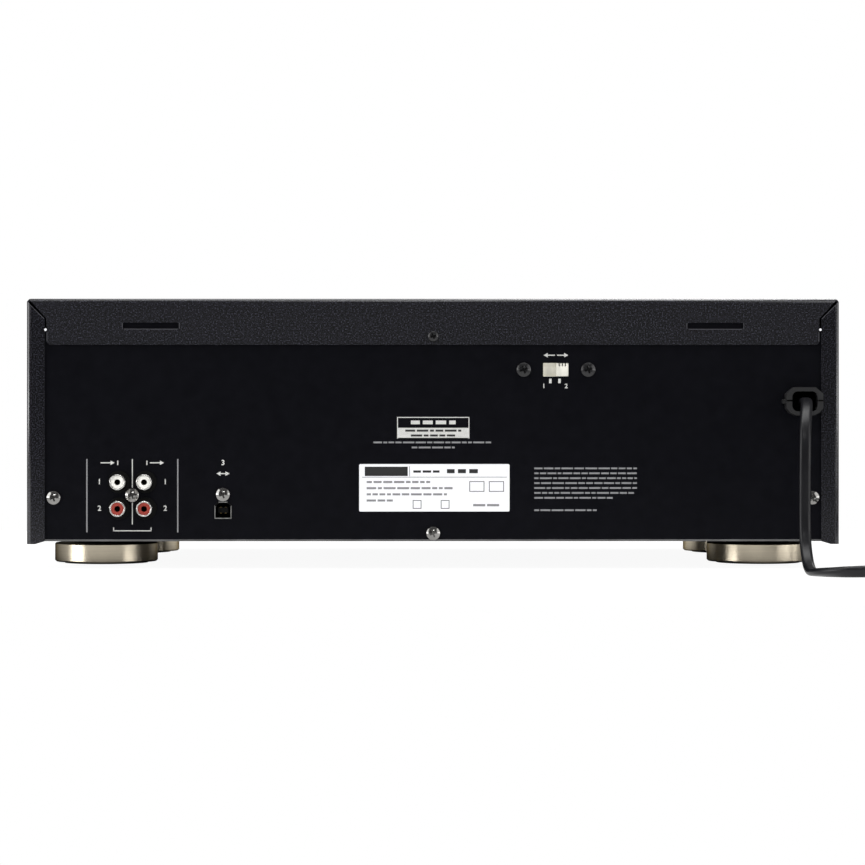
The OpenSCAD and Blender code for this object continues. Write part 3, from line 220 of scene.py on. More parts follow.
def circuit_board():
    material = finish("circuit_board", (0.01, 0.07, 0.03), 0.35)
    tracks = noise(material, 4 * MM, 0, (6, 1, 1))
    colour_between(material, tracks, (0.008, 0.055, 0.022), (0.02, 0.11, 0.045), 0.47, 0.53)
    bump(material, tracks, 0.03 * MM, 0.3)
    return material


def ink(name, colour, least=0.8):
    material = finish(name, colour, 0.6)
    colour_between(material, noise(material, 0.4 * MM), shade(colour, least), shade(colour, 1.1))
    return material


black_plastic = moulded("black_plastic", (0.012, 0.012, 0.013), 0.5)
matte_black = moulded("matte_black", (0.003, 0.003, 0.003), 0.7, Specular_IOR_Level=0.1)
# deep_black also serves as painted shade: behind the flange joints and inside the cord bush's mouth.
deep_black = moulded("deep_black", (0.0004, 0.0004, 0.0004), 0.9, Specular_IOR_Level=0.0)
zinc = plated_steel("zinc", (0.27, 0.265, 0.255), 0.12, 0.2, 5 * MM)
brass = plated_steel("brass", (0.60, 0.43, 0.17), 0.2, 0.35)
white_ink = ink("white_ink", (0.62, 0.62, 0.60))
grey_ink = ink("grey_ink", (0.24, 0.24, 0.25))
pale_ink = ink("pale_ink", (0.24, 0.24, 0.25))
phosphor = ink("phosphor", (0.30, 0.36, 0.34))
dark_ink = ink("dark_ink", (0.012, 0.012, 0.012))
# Painted highlights: a grey ink for lines along the rear flanges' edges and the vent slots' lips.
highlight_grey = ink("highlight_grey", (0.065, 0.065, 0.075))
red_ink = ink("red_ink", (0.5, 0.03, 0.02))
paper_white = ink("paper_white", (0.86, 0.86, 0.89), 0.97)
FINISHES = {
    "cover_paint": powder_coat("powder_coat", 0.9),
    "panel_paint": smooth_paint(),
    "chassis_steel": plated_steel("chassis_steel", (0.22, 0.22, 0.22), 0.32, 0.5, 12 * MM),
    "front_metal": brushed_metal("black_aluminium", (0.045, 0.045, 0.048), 0.32, 0.5, (120, 1, 1)),
    "black_plastic": black_plastic,
    "foot_metal": turned_metal("champagne_metal", (0.84, 0.745, 0.58), 0.28,
                               Specular_Tint=(0.10, 0.08, 0.05, 1)),
    "rubber": moulded("rubber", (0.02, 0.02, 0.02), 0.8, 0.6 * MM, 0.08 * MM),
    "black_steel": moulded("black_steel", (0.005, 0.005, 0.006), 0.26, depth=0.01 * MM,
                           Specular_IOR_Level=0.5),
    "zinc": zinc,
    "nickel": plated_steel("nickel", (0.80, 0.79, 0.76), 0.12, 0.25),
    "white_plastic": moulded("white_plastic", (0.86, 0.85, 0.80), 0.35),
    "red_plastic": moulded("red_plastic", (0.30, 0.035, 0.022), 0.35),
    "ivory_plastic": moulded("ivory_plastic", (0.95, 0.93, 0.85), 0.4),
    "cord_vinyl": moulded("cord_vinyl", (0.005, 0.005, 0.0065), 0.36, 0.5 * MM, Specular_IOR_Level=0.3),
    "transformer_core": laminations(),
    "board": circuit_board(),
    "smoked_window": clear_plastic("smoked_window", (0.006, 0.006, 0.007), 0.55),
    "clear_window": clear_plastic("clear_window", (0.02, 0.02, 0.022), 0.26),
    "mechanism_steel": plated_steel("mechanism_steel", (0.46, 0.47, 0.48), 0.28, 0.42, 8 * MM),
    "polished_steel": plated_steel("polished_steel", (0.60, 0.60, 0.60), 0.14, 0.26),
    "brass": brass,
    "key_plastic": moulded("key_plastic", (0.035, 0.035, 0.038), 0.28),
    "knob_metal": brushed_metal("knob_metal", (0.06, 0.06, 0.065), 0.25, 0.4, (1, 60, 1)),
}
for row in frame["record"]["subparts"]:
    mesh = nodes[row["node"]].data
    mesh.materials.clear()
    mesh.materials.append(FINISHES[row["material_slot"]])


def paint_faces(node, material, chosen):
    """Gives the faces of a node whose middle is chosen another finish."""
    mesh = nodes[node].data
    mesh.materials.append(material)
    for face in mesh.polygons:
        if chosen(face.center):
            face.material_index = len(mesh.materials) - 1


def soften(width, *names):
    """Rounds the sharp edges of nodes, as moulding and turning leave them."""
    for name in names:
        weld = nodes[name].modifiers.new("weld", "WELD")
        weld.merge_threshold = 0.002 * MM
        edge = nodes[name].modifiers.new("edge", "BEVEL")
        edge.width = width
        edge.segments = 2
        edge.limit_method = "ANGLE"
        edge.angle_limit = math.radians(40)
        edge.harden_normals = True


# Making pieces

SQUARE = (-1, -1), (1, -1), (1, 1), (-1, 1)  # the corners' signs, in turn
INK = 0.04 * MM


def mesh_piece(name, bm, material, body):
    bmesh.ops.recalc_face_normals(bm, faces=bm.faces)
    mesh = bpy.data.meshes.new(name)
    bm.to_mesh(mesh)
    bm.free()
    piece = bpy.data.objects.new(name, mesh)
    bpy.context.scene.collection.objects.link(piece)
    mesh.materials.append(material)
    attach(piece, body)
    return piece


def smooth(piece, degrees=40):
    piece.data.shade_smooth()
    piece.data.set_sharp_from_angle(angle=math.radians(degrees))
    return piece


def join_rings(bm, rings, closed=False):
    """Skins a row of rings of points into a tube: closed on itself, or with a cap at each end."""
    made = [[bm.verts.new(p) for p in ring] for ring in rings]
    count = len(made[0])
    for j in range(len(made) if closed else len(made) - 1):
        a, b = made[j], made[(j + 1) % len(made)]
        for i in range(count):
            bm.faces.new((a[i], a[(i + 1) % count], b[(i + 1) % count], b[i]))
    if not closed:
        bm.faces.new(made[0])
        bm.faces.new(made[-1])


def rounded_outline(x, z, w, h, r, steps=5):
    """Points of a rectangle with round corners, about (x, z)."""
    points = []
    for quarter, (sx, sz) in enumerate(((1, 1), (-1, 1), (-1, -1), (1, -1))):
        middle_x, middle_z = x + sx * (w / 2 - r), z + sz * (h / 2 - r)
        for i in range(steps + 1):
            angle = math.radians(90 * (quarter + i / steps))
            points.append((middle_x + r * math.cos(angle), middle_z + r * math.sin(angle)))
    return points


def circle_outline(x, z, r, steps=32):
    turns = [2 * math.pi * i / steps for i in range(steps)]
    return [(x + r * math.cos(t), z + r * math.sin(t)) for t in turns]


class Marks:
    """Thin marks on a face that looks to the rear or to the front, drawn in X and Z."""

    def __init__(self, y, side, height=INK):
        self.bm = bmesh.new()
        self.side = side
        self.low = y
        self.high = y + side * height

    def shape(self, points):
        join_rings(self.bm, [[(x, y, z) for x, z in points] for y in (self.low, self.high)])

    def bar(self, x, z, w, h, r=0.0):
        if r:
            self.shape(rounded_outline(x, z, w, h, r, 3))
        else:
            self.shape([(x + u * w / 2, z + v * h / 2) for u, v in SQUARE])

    def line(self, start, end, w):
        start, end = Vector(start), Vector(end)
        across = (end - start).orthogonal().normalized() * w / 2
        self.shape([start - across, end - across, end + across, start + across])

    def disc(self, x, z, r):
        self.shape(circle_outline(x, z, r, 24))

    def ring(self, x, z, r, w, start=0, end=360):
        """A ring, or a stretch of one between two angles."""
        steps = max(3, round((end - start) / 10))
        angles = [math.radians(start + (end - start) * i / steps) for i in range(steps + 1)]
        rims = [[(x + k * math.cos(a), z + k * math.sin(a)) for a in angles]
                for k in (r - w / 2, r + w / 2)]
        for i in range(steps):
            self.shape([rims[0][i], rims[0][i + 1], rims[1][i + 1], rims[1][i]])

    def frame(self, x, z, w, h, line):
        for s in (-1, 1):
            self.bar(x + s * (w - line) / 2, z, line, h)
            self.bar(x, z + s * (h - line) / 2, w - 2 * line, line)

    def numeral(self, words, x, z, size):
        curve = bpy.data.curves.new("numeral", "FONT")
        curve.body = words
        curve.size = size
        curve.align_x, curve.align_y = "CENTER", "CENTER"
        curve.extrude = abs(self.high - self.low) / 2
        curve.offset = 0.02 * size
        curve.resolution_u = 4
        holder = bpy.data.objects.new("numeral", curve)
        mesh = bpy.data.meshes.new_from_object(holder)
        turn = Matrix(((-self.side, 0, 0), (0, 0, self.side), (0, 1, 0))).to_4x4()
        mesh.transform(Matrix.Translation((x, (self.low + self.high) / 2, z)) @ turn)
        self.bm.from_mesh(mesh)
        bpy.data.objects.remove(holder)
        bpy.data.curves.remove(curve)
        bpy.data.meshes.remove(mesh)

    def make(self, name, material, body="chassis", slot="white_plastic"):
        return mesh_piece(name, self.bm, material, body)


# Mains cord: out of the bush, down, along the floor and into its coil

CORD_W, CORD_T = 6.2 * MM, 3.8 * MM
ROUTE = [
    ((-198, 136, 90), (1, 0, 0)), ((-198, 146, 90), (1, 0, 0)),
    ((-196.9, 155.5, 88), (1, 0, 0)), ((-195.4, 163.5, 82.5), (1, 0, 0)),
    ((-194.2, 169, 74.5), (1, 0, 0)), ((-193.8, 171, 65), (1, 0, 0)),
    ((-193.6, 171, 46), (1, 0, 0)), ((-193.6, 171, 27), (1, 0, 0)),
    ((-193.6, 173, 17.5), (1, 0, 0)), ((-193.6, 178.5, 9.5), (1, 0, 0)),
    ((-193.6, 186.5, 4), (1, 0, 0)), ((-193.8, 196, 2), (1, 0, 0)),
    ((-196, 205.5, 2.3), (1, 0.4, 0.3)), ((-202, 213.5, 2.8), (0.7, 0.7, 0.7)),
    ((-210.5, 219, 3.3), (0.3, 0.6, 1.2)), ((-220, 221, 3.6), (0, 0.3, 1.2)),
    ((-240, 221, 3.7), (0, 0, 1)), ((-258, 221, 3.7), (0, 0, 1)), ((-273.8, 221, 3.7), (0, 0, 1)),
]
COIL_R, COIL_PITCH, COIL_LAYER = 46 * MM, 6.6 * MM, 6.8 * MM
COIL_TURNS, COIL_CLIMB, COIL_STEPS = 5.25, 0.34, 40
PLUG_Z, PLUG_TAIL = 9.2 * MM, 24 * MM
UP = Vector((0, 0, 1))
coil_entry = Vector(ROUTE[-1][0]) * MM
coil_centre = coil_entry - Vector((CORD_W, COIL_R, 0))


def coil_point(turns):
    """A point of the coil: in on the lower layer, a climb, and out on the upper one."""
    r = COIL_R - COIL_PITCH * min(turns, COIL_TURNS - turns)
    rise = min(1, max(0, (turns - COIL_TURNS / 2) / COIL_CLIMB + 0.5))
    angle = math.radians(90 + 360 * turns)
    return coil_centre + Vector((r * math.cos(angle), r * math.sin(angle), COIL_LAYER * rise))


def smooth_row(rows, steps):
    """Points between given ones, on a curve that passes through them all."""
    made = []
    for i in range(len(rows) - 1):
        a, b = rows[i], rows[i + 1]
        before = rows[i - 1] if i else 2 * a - b
        after = rows[i + 2] if i + 2 < len(rows) else 2 * b - a
        for k in range(steps):
            t = k / steps
            made.append(0.5 * (2 * a + (b - before) * t + (2 * before - 5 * a + 4 * b - after) * t ** 2
                               + (3 * a - before - 3 * b + after) * t ** 3))
    return made + [rows[-1]]


def cord_line():
    """The cord's middle line and the direction of its width at each point."""
    free = smooth_row([Vector(p) * MM for p, _ in ROUTE], 5)
    across = smooth_row([Vector(a).normalized() for _, a in ROUTE], 5)
    count = round(COIL_TURNS * COIL_STEPS)
    coil = [coil_point(COIL_TURNS * i / count) for i in range(count + 1)]
    end = coil[-1]
    bend, rise = 9 * MM, 0.6 * MM
    tail = [end, Vector((end.x, end.y - bend, PLUG_Z + rise)),
            Vector((end.x, end.y - PLUG_TAIL + CORD_W, PLUG_Z)), Vector((end.x, end.y - PLUG_TAIL, PLUG_Z))]
    line = free + coil + smooth_row(tail, 4)[1:]
    return line, across + [UP] * (len(line) - len(across))


def cord_section(steps=8):
    """Points of the section, along its width and thickness: half-round edges and two flat sides."""
    edge = CORD_T / 2
    points = []
    for side in (1, -1):
        for i in range(steps + 1):
            angle = math.radians(-90 + 180 * i / steps)
            u, v = CORD_W / 2 - edge + edge * math.cos(angle), edge * math.sin(angle)
            points.append((side * u, side * v))
    return points


def sweep(bm, line, across, section):
    rings = []
    for i, at in enumerate(line):
        along = (line[min(i + 1, len(line) - 1)] - line[max(i - 1, 0)]).normalized()
        wide = (across[i] - across[i].dot(along) * along).normalized()
        thin = along.cross(wide)
        rings.append([at + wide * u + thin * v for u, v in section])
    join_rings(bm, rings)


def cord_tie():
    """A band round the coil's turns, on the side away from the plug."""
    thick, width, clear, bend = 0.5 * MM, 5 * MM, 0.15 * MM, 1.6 * MM
    turns_held = 2.62
    inner, outer = COIL_R - turns_held * COIL_PITCH, COIL_R
    low, high = coil_entry.z - CORD_W / 2, coil_entry.z + COIL_LAYER + CORD_W / 2
    w, h = outer - inner + CORD_T + 2 * clear + thick, high - low + clear + thick
    at = Vector((coil_centre.x + (inner + outer) / 2, coil_centre.y, (low + high) / 2))
    bm = bmesh.new()
    rings = []
    for x, z in rounded_outline(0, 0, w, h, bend):
        out = Vector((x / w, 0, z / h)).normalized() * thick / 2
        corner = at + Vector((x, 0, z))
        rings.append([corner + out * s + Vector((0, t * width / 2, 0)) for s, t in SQUARE])
    join_rings(bm, rings, closed=True)
    return smooth(mesh_piece("cord_tie", bm, black_plastic, "chassis"))


cord_mesh = bmesh.new()
cord_path, cord_across = cord_line()
sweep(cord_mesh, cord_path, cord_across, cord_section())
mains_cord = smooth(mesh_piece("mains_cord", cord_mesh, FINISHES["cord_vinyl"], "chassis"), 60)
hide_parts("power_cord", "cord_coil")
cord_tie()


# World, lamps and floor

ROOM_LIGHT = 0.34
# The room in reflections: how bright it is, from the sides to straight before and behind the deck
WALLS = {"From Min": 0.1, "From Max": 0.8, "To Min": 0.34, "To Max": 0.09}
FLOOR_SIZE, FLOOR_SHARE, FLOOR_GLOW = 0.42, 0.8, 1.17
# A painted shadow of the deck on the floor, seen only in reflections: on each axis, how far out from the
# case's edge the floor's glow starts to brighten, and over what width
PAINTED_SHADOW = ("X", 0.0, 0.3), ("Y", -0.06, 0.08)
# Each lamp's name, place, aim, width and height, and watts
LAMPS = (
    ("top_lamp", (0, 0.25, 1.5), (0, 0.05, 0.1), (1.6, 0.9), 21),
    ("left_lamp", (1.22, 0.58, 0.55), (0, 0.134, 0.07), (0.9, 1.0), 8.4),
    ("right_lamp", (-1.14, 0.76, 0.55), (0, 0.134, 0.07), (0.8, 1.0), 4),
    ("left_strip", (1.20, 0.62, 0.101), (0, 0.134, 0.101), (0.62, 0.2), 2.4),
    ("right_strip", (-1.2, 0.62, 0.101), (0, 0.134, 0.101), (1.1, 0.2), 2.2),
    ("rear_strip", (0, 1.94, 1.15), (0, 0.134, 0.1), (0.8, 0.12), 4),
    ("front_lamp", (-0.7, -1.7, 1.3), (0, -0.1, 0.07), (1.0, 0.8), 14),
)


def light_world():
    """An even room light, white to the camera; in reflections pale walls and a card before and behind."""
    world = bpy.data.worlds.new("studio")
    world.use_nodes = True
    bpy.context.scene.world = world
    tree = world.node_tree
    tree.nodes.clear()

    def make(kind, **values):
        node = tree.nodes.new(kind)
        for key, value in values.items():
            setattr(node, key, value)
        return node

    coords = make("ShaderNodeTexCoord")
    parts = make("ShaderNodeSeparateXYZ")
    tree.links.new(coords.outputs["Generated"], parts.inputs["Vector"])
    ahead = make("ShaderNodeMath", operation="ABSOLUTE")
    tree.links.new(parts.outputs["Y"], ahead.inputs[0])
    card = make("ShaderNodeMapRange")
    tree.links.new(ahead.outputs["Value"], card.inputs["Value"])
    for socket, value in WALLS.items():
        card.inputs[socket].default_value = value
    path = make("ShaderNodeLightPath")
    seen = make("ShaderNodeMath", operation="MAXIMUM")
    tree.links.new(path.outputs["Is Glossy Ray"], seen.inputs[0])
    tree.links.new(path.outputs["Is Transmission Ray"], seen.inputs[1])
    reflected = make("ShaderNodeMix", data_type="FLOAT")
    reflected.inputs[2].default_value = ROOM_LIGHT
    tree.links.new(seen.outputs["Value"], reflected.inputs[0])
    tree.links.new(card.outputs["Result"], reflected.inputs[3])
    strength = make("ShaderNodeMath", operation="MAXIMUM")
    tree.links.new(reflected.outputs[0], strength.inputs[0])
    tree.links.new(path.outputs["Is Camera Ray"], strength.inputs[1])
    background = make("ShaderNodeBackground")
    background.inputs["Color"].default_value = (1, 1, 1, 1)
    tree.links.new(strength.outputs["Value"], background.inputs["Strength"])
    output = make("ShaderNodeOutputWorld")
    tree.links.new(background.outputs["Background"], output.inputs["Surface"])


def lay_floor():
    """A white floor that keeps a soft shadow of the deck, and a painted shadow of it in what metal reflects.
    """
    bm = bmesh.new()
    bmesh.ops.create_grid(bm, x_segments=1, y_segments=1, size=FLOOR_SIZE)
    mesh = bpy.data.meshes.new("floor")
    bm.to_mesh(mesh)
    bm.free()
    floor = bpy.data.objects.new("floor", mesh)
    bpy.context.scene.collection.objects.link(floor)
    material = finish("floor_white", (0.92, 0.92, 0.92), 0.9, Specular_IOR_Level=0.0)
    tree = material.node_tree
    shader = tree.nodes["Principled BSDF"]

    def math_node(operation, first, second):
        node = tree.nodes.new("ShaderNodeMath")
        node.operation = operation
        for socket, value in zip(node.inputs, (first, second)):
            if isinstance(value, (int, float)):
                socket.default_value = value
            else:
                tree.links.new(value, socket)
        return node.outputs["Value"]

    path = tree.nodes.new("ShaderNodeLightPath")
    place = tree.nodes.new("ShaderNodeSeparateXYZ")
    tree.links.new(tree.nodes.new("ShaderNodeTexCoord").outputs["Object"], place.inputs["Vector"])
    # Painted shadow: the glow that reflections see fades by place towards the case's footprint.
    half, mid = (case_high - case_low) / 2, (case_high + case_low) / 2
    outside = 0.0
    for i, (axis, start, edge) in enumerate(PAINTED_SHADOW):
        away = math_node("ABSOLUTE", math_node("SUBTRACT", place.outputs[axis], mid[i]), 0)
        beyond = math_node("SUBTRACT", away, half[i] + start)
        outside = math_node("MAXIMUM", outside, math_node("MULTIPLY", beyond, 1 / edge))
    reflected = math_node("MAXIMUM", path.outputs["Is Glossy Ray"], path.outputs["Is Transmission Ray"])
    seen = path.outputs["Is Camera Ray"]
    share = math_node("MAXIMUM", math_node("MULTIPLY", seen, FLOOR_SHARE), reflected)
    unshaded = math_node("MAXIMUM", seen, math_node("MINIMUM", outside, 1))
    glow = tree.nodes.new("ShaderNodeEmission")
    tree.links.new(math_node("MULTIPLY", unshaded, FLOOR_GLOW), glow.inputs["Strength"])
    mix = tree.nodes.new("ShaderNodeMixShader")
    tree.links.new(share, mix.inputs["Fac"])
    tree.links.new(shader.outputs["BSDF"], mix.inputs[1])
    tree.links.new(glow.outputs["Emission"], mix.inputs[2])
    tree.links.new(mix.outputs["Shader"], tree.nodes["Material Output"].inputs["Surface"])
    mesh.materials.append(material)


def add_lamp(name, at, aim, size, power):
    lamp = bpy.data.lights.new(name, "AREA")
    lamp.shape = "RECTANGLE"
    lamp.size, lamp.size_y = size
    lamp.energy = power
    holder = bpy.data.objects.new(name, lamp)
    holder.location = at
    holder.rotation_euler = (Vector(aim) - Vector(at)).to_track_quat("-Z", "Y").to_euler()
    bpy.context.scene.collection.objects.link(holder)


light_world()
lay_floor()
for lamp in LAMPS:
    add_lamp(*lamp)


# Rear panel: lines, plain bars, arrows and numerals

jack = middle("jack_shells")
selector = middle("selector_body")
bush, bush_face = middle("cord_bush"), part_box("cord_bush")[1].y
JACK_PITCH = 14.2 * MM
USB_DROP, USB_REACH = 4.55 * MM, 4.1 * MM
usb_x, usb_z = middle("usb_socket").x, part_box("usb_socket")[1].z - USB_DROP
LEGEND_Z, NUMERAL_H = 57.2 * MM, 3.9 * MM
SMALL_TEXT = 0.9 * MM


def arrow(marks, x, z, length, point):
    """A flat arrow whose head points along +X or -X."""
    head, half, stem = 2.2 * MM, 1.2 * MM, 0.55 * MM
    tip, neck, end = x + point * length / 2, x + point * (length / 2 - head), x - point * length / 2
    marks.shape([(tip, z), (neck, z + half), (neck, z + stem / 2), (end, z + stem / 2), (end, z - stem / 2),
                 (neck, z - stem / 2), (neck, z - half)])


def word_bars(marks, left, z, width, height, chosen):
    """A line of text as plain bars, from the left as seen from the rear."""
    shortest, longest, gap = 2.0, 6.5, 0.8 * height
    start, end = left, left - width
    while start - end > height:
        length = min(chosen.uniform(shortest, longest) * MM, start - end)
        marks.bar(start - length / 2, z, length, height)
        start -= length + gap


def socket_legends(white, grey):
    """Lines beside the sockets, an arrow and numerals for each pair, and a bracket below them."""
    line_top, line_low, line_w = 59.2 * MM, 20 * MM, 0.7 * MM
    thin, clear, thin_low = 0.5 * MM, 4 * MM, 24.2 * MM
    arrow_out, arrow_length = 13.2 * MM, 7.5 * MM
    stop_in, stop_w, stop_h = 5.4 * MM, 0.55 * MM, 2.4 * MM
    numeral_out = 17.6 * MM
    bracket_z, bracket_w, hook_out, hook_z, hook_h = 20.8 * MM, 20.5 * MM, 10 * MM, 21.7 * MM, 1.8 * MM
    for x in (185.3 * MM, 136.7 * MM):
        grey.bar(x, (line_top + line_low) / 2, line_w, line_top - line_low)
    for top, low in ((line_top, jack.z + clear), (jack.z - clear, thin_low)):
        white.bar(jack.x, (top + low) / 2, thin, top - low)
    for side in (-1, 1):
        x = jack.x + side * arrow_out
        arrow(white, x, LEGEND_Z, arrow_length, -1)
        white.bar(x - side * stop_in, LEGEND_Z, stop_w, stop_h)
        for row, words in ((1, "1"), (-1, "2")):
            white.numeral(words, jack.x + side * numeral_out, jack.z + row * JACK_PITCH / 2, NUMERAL_H)
        white.bar(jack.x + side * hook_out, hook_z, thin, hook_h)
    white.bar(jack.x, bracket_z, bracket_w, thin)


def usb_legends(white):
    arrow_z, arrow_out, arrow_length = 51.4 * MM, 1.7 * MM, 3.6 * MM
    white.numeral("3", usb_x, LEGEND_Z, NUMERAL_H)
    for side in (-1, 1):
        arrow(white, usb_x + side * arrow_out, arrow_z, arrow_length, side)


def selector_legends(white):
    """A tick and a numeral for each place of the slider, and a pair of arrows above it."""
    tick_z, tick_w, tick_h = 101 * MM, 1.35 * MM, 2.4 * MM
    numeral_z, numeral_h = 98.2 * MM, 3.4 * MM
    arrow_z, arrow_out, arrow_length = 114.8 * MM, 3.6 * MM, 6 * MM
    for tick_x, numeral_x, words in ((-62.7 * MM, -59.2 * MM, "1"), (-67.6 * MM, -71.2 * MM, "2")):
        white.bar(tick_x, tick_z, tick_w, tick_h)
        white.numeral(words, numeral_x, numeral_z, numeral_h)
    for side in (-1, 1):
        arrow(white, selector.x + side * arrow_out, arrow_z, arrow_length, side)


def badge(white, dark, pale, chosen):
    """A frame with a filled lower half, lines of text in both halves and two more below."""
    z, w, h, line = 75.9 * MM, 38.7 * MM, 11.6 * MM, 0.45 * MM
    title_w, title_h, filled_h = 24 * MM, 2 * MM, 1.1 * MM
    white.frame(0, z, w, h, line)
    white.bar(0, z - h / 4, w - 2 * line, h / 2)
    word_bars(white, title_w / 2, z + h / 4, title_w, title_h, chosen)
    for row_z, width in ((74.4 * MM, 30 * MM), (71.8 * MM, 24 * MM)):
        word_bars(dark, width / 2, row_z, width, filled_h, chosen)
    for row_z, width in ((68.1 * MM, 64 * MM), (65.4 * MM, 23 * MM)):
        word_bars(pale, width / 2, row_z, width, SMALL_TEXT, chosen)


def text_block(pale, chosen):
    """Lines of small text below the selector, the last one apart."""
    left, top, pitch, count = -54.1 * MM, 54.2 * MM, 2.63 * MM, 7
    full, short, apart_z, apart_w = 55 * MM, 42 * MM, 31.8 * MM, 33.4 * MM
    for i in range(count):
        word_bars(pale, left, top - pitch * i, full if i < count - 1 else short, SMALL_TEXT, chosen)
    word_bars(pale, left, apart_z, apart_w, SMALL_TEXT, chosen)


def print_rear():
    chosen = random.Random(5)
    white, grey, pale = Marks(panel_y, REAR), Marks(panel_y, REAR), Marks(panel_y, REAR)
    dark = Marks(panel_y + INK, REAR, INK / 2)
    socket_legends(white, grey)
    usb_legends(white)
    selector_legends(white)
    badge(white, dark, pale, chosen)
    text_block(pale, chosen)
    white.make("rear_print_white", white_ink)
    grey.make("rear_print_lines", grey_ink)
    pale.make("rear_print_bars", pale_ink)
    dark.make("rear_print_dark", dark_ink)


def rating_sticker():
    """A blank white plate of paper with plain rules, bars and boxes."""
    x, z, w, h, thick, corner = -0.6 * MM, 43.8 * MM, 80.5 * MM, 25.4 * MM, 0.15 * MM, 0.7 * MM
    rule, box_line, ink_height, margin = 0.25 * MM, 0.35 * MM, 0.03 * MM, 1.5 * MM
    left, top = x + w / 2, z + h / 2
    head_z, rule_z, rule_x, rule_h = top - 3.9 * MM, top - 7 * MM, left - 27 * MM, 5.4 * MM
    block_x, block_w, block_h = left - 14.5 * MM, 23 * MM, 5 * MM
    chosen = random.Random(11)
    paper = Marks(panel_y, REAR, thick)
    paper.bar(x, z, w, h, corner)
    paper.make("rating_sticker", paper_white)
    dark, pale = Marks(panel_y + thick, REAR, ink_height), Marks(panel_y + thick, REAR, ink_height)
    dark.bar(block_x, head_z, block_w, block_h)
    dark.bar(x, rule_z, w - 2 * margin, rule)
    dark.bar(rule_x, head_z, rule, rule_h)
    # In mm: in from the left edge, down from the top, then width and height
    for ink, across, down, width, height in (
            (dark, 29, 4, 14, 1.2), (dark, 47, 3.8, 18, 2.2),
            (pale, 4, 9.6, 34, 1.1), (pale, 4, 12.9, 46, 1.1),
            (pale, 4, 16.2, 43, 1.1), (pale, 4, 19.5, 14, 1.1), (pale, 61, 22, 16, 1.2)):
        word_bars(ink, left - across * MM, top - down * MM, width * MM, height * MM, chosen)
    for across, down, width, height in ((63, 12, 8, 5.6), (73.5, 12, 8, 5.6),
                                        (31, 21.6, 4.6, 4.6), (46, 21.6, 4.6, 4.6)):
        dark.frame(left - across * MM, top - down * MM, width * MM, height * MM, box_line)
    dark.make("sticker_rules", dark_ink)
    pale.make("sticker_bars", grey_ink)


def flange_seams():
    """Spot welds on the joints of the cover's rear flanges, painted shade behind those joints, and painted
    highlights along the joints' edges and the vent slots' lips.
    """
    seam_x, seam_z, seam_w, seam_h = 207.25 * MM, 131.7 * MM, 1.3 * MM, 6.4 * MM
    weld_z, weld_r = 128.4 * MM, 0.7 * MM
    mitre_z, mitre = 134.8 * MM, 7.8 * MM
    edge, edge_x, edge_z, edge_h = 0.25 * MM, 206.5 * MM, 124.6 * MM, 5 * MM
    slant_x, slant_z, slant = 208.1 * MM, 134.2 * MM, 7.3 * MM
    slot_x, slot_low, slot_w, slot_edge = 151 * MM, 128.7 * MM, 28.6 * MM, 0.3 * MM
    slot_end, slot_z, slot_h = 15.2 * MM, 130.5 * MM, 3 * MM
    welds, dark, painted_highlights = Marks(flange_y, REAR, 0.15 * MM), Marks(panel_y, REAR), Marks(flange_y, REAR, INK / 2)
    for side in (-1, 1):
        x = side * seam_x
        welds.disc(x, weld_z, weld_r)
        # Painted shade: deep black strips on the panel behind each joint.
        dark.bar(x, seam_z, seam_w, seam_h)
        dark.line((x, mitre_z), (x + side * mitre, mitre_z + mitre), seam_w)
        # Painted highlights along the joint's edge, the mitre and the vent slot's lower lip and ends.
        painted_highlights.bar(side * edge_x, edge_z, edge, edge_h)
        painted_highlights.line((side * slant_x, slant_z), (side * (slant_x + slant), slant_z + slant), edge)
        painted_highlights.bar(side * slot_x, slot_low, slot_w, slot_edge)
        for end in (-1, 1):
            painted_highlights.bar(side * slot_x + end * slot_end, slot_z, edge, slot_h)
    welds.make("seam_dots", paper_white, slot="zinc")
    dark.make("seam_painted_shade", deep_black, slot="black_plastic")
    painted_highlights.make("flange_painted_highlights", highlight_grey, slot="cover_paint")


def bush_split():
    """The dark joint between the two halves of the cord bush, at each side of the cord."""
    out, rise, w, h = 8.1 * MM, 0.4 * MM, 3.4 * MM, 0.7 * MM
    marks = Marks(bush_face, REAR, 0.05 * MM)
    for side in (1, -1):
        marks.bar(cord_path[0].x + side * out, bush.z + rise, w, h)
    marks.make("bush_split", deep_black, slot="black_plastic")


def usb_contacts():
    """Two pairs of brass springs in the socket's opening."""
    out, up, half_w, half_t = 1.25 * MM, 1.55 * MM, 0.5 * MM, 0.08 * MM
    back, front = panel_y - 7 * MM, panel_y - 1.7 * MM
    bm = bmesh.new()
    for side in (-1, 1):
        for row in (-1, 1):
            x, z = usb_x + side * out, usb_z + row * up
            join_rings(bm, [[(x + u * half_w, y, z + v * half_t) for u, v in SQUARE] for y in (back, front)])
    mesh_piece("usb_contacts", bm, brass, "chassis")


print_rear()
rating_sticker()
flange_seams()
bush_split()
usb_contacts()
nodes["usb_socket"].data.materials[0] = plated_steel("dull_nickel", (0.36, 0.36, 0.35), 0.34, 0.46)
nodes["jack_block"].data.materials[0] = matte_black
grip_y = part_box("selector_slider")[1].y - 0.6 * MM
paint_faces("selector_slider", moulded("ivory_grip", (0.78, 0.76, 0.68), 0.4), lambda c: c.y > grip_y)
# Painted shade: the faces inside each insert's bore get a dark brown in the white inserts and a dark red in
# the red ones, as the deep holes lie in shade.
bore_r = 1.75 * MM
for insert, shade_tint in (("white", (0.12, 0.08, 0.045)), ("red", (0.10, 0.012, 0.01))):
    bore_shade = moulded(f"{insert}_bore", shade_tint, 0.6)
    paint_faces(f"jack_inserts_{insert}", bore_shade, lambda c: math.hypot(
        abs(c.x - jack.x) - JACK_PITCH / 2, abs(c.z - jack.z) - JACK_PITCH / 2) < bore_r)
paint_faces("usb_socket", matte_black,
            lambda c: abs(c.x - usb_x) < USB_REACH and abs(c.z - usb_z) < USB_REACH)


# Plug

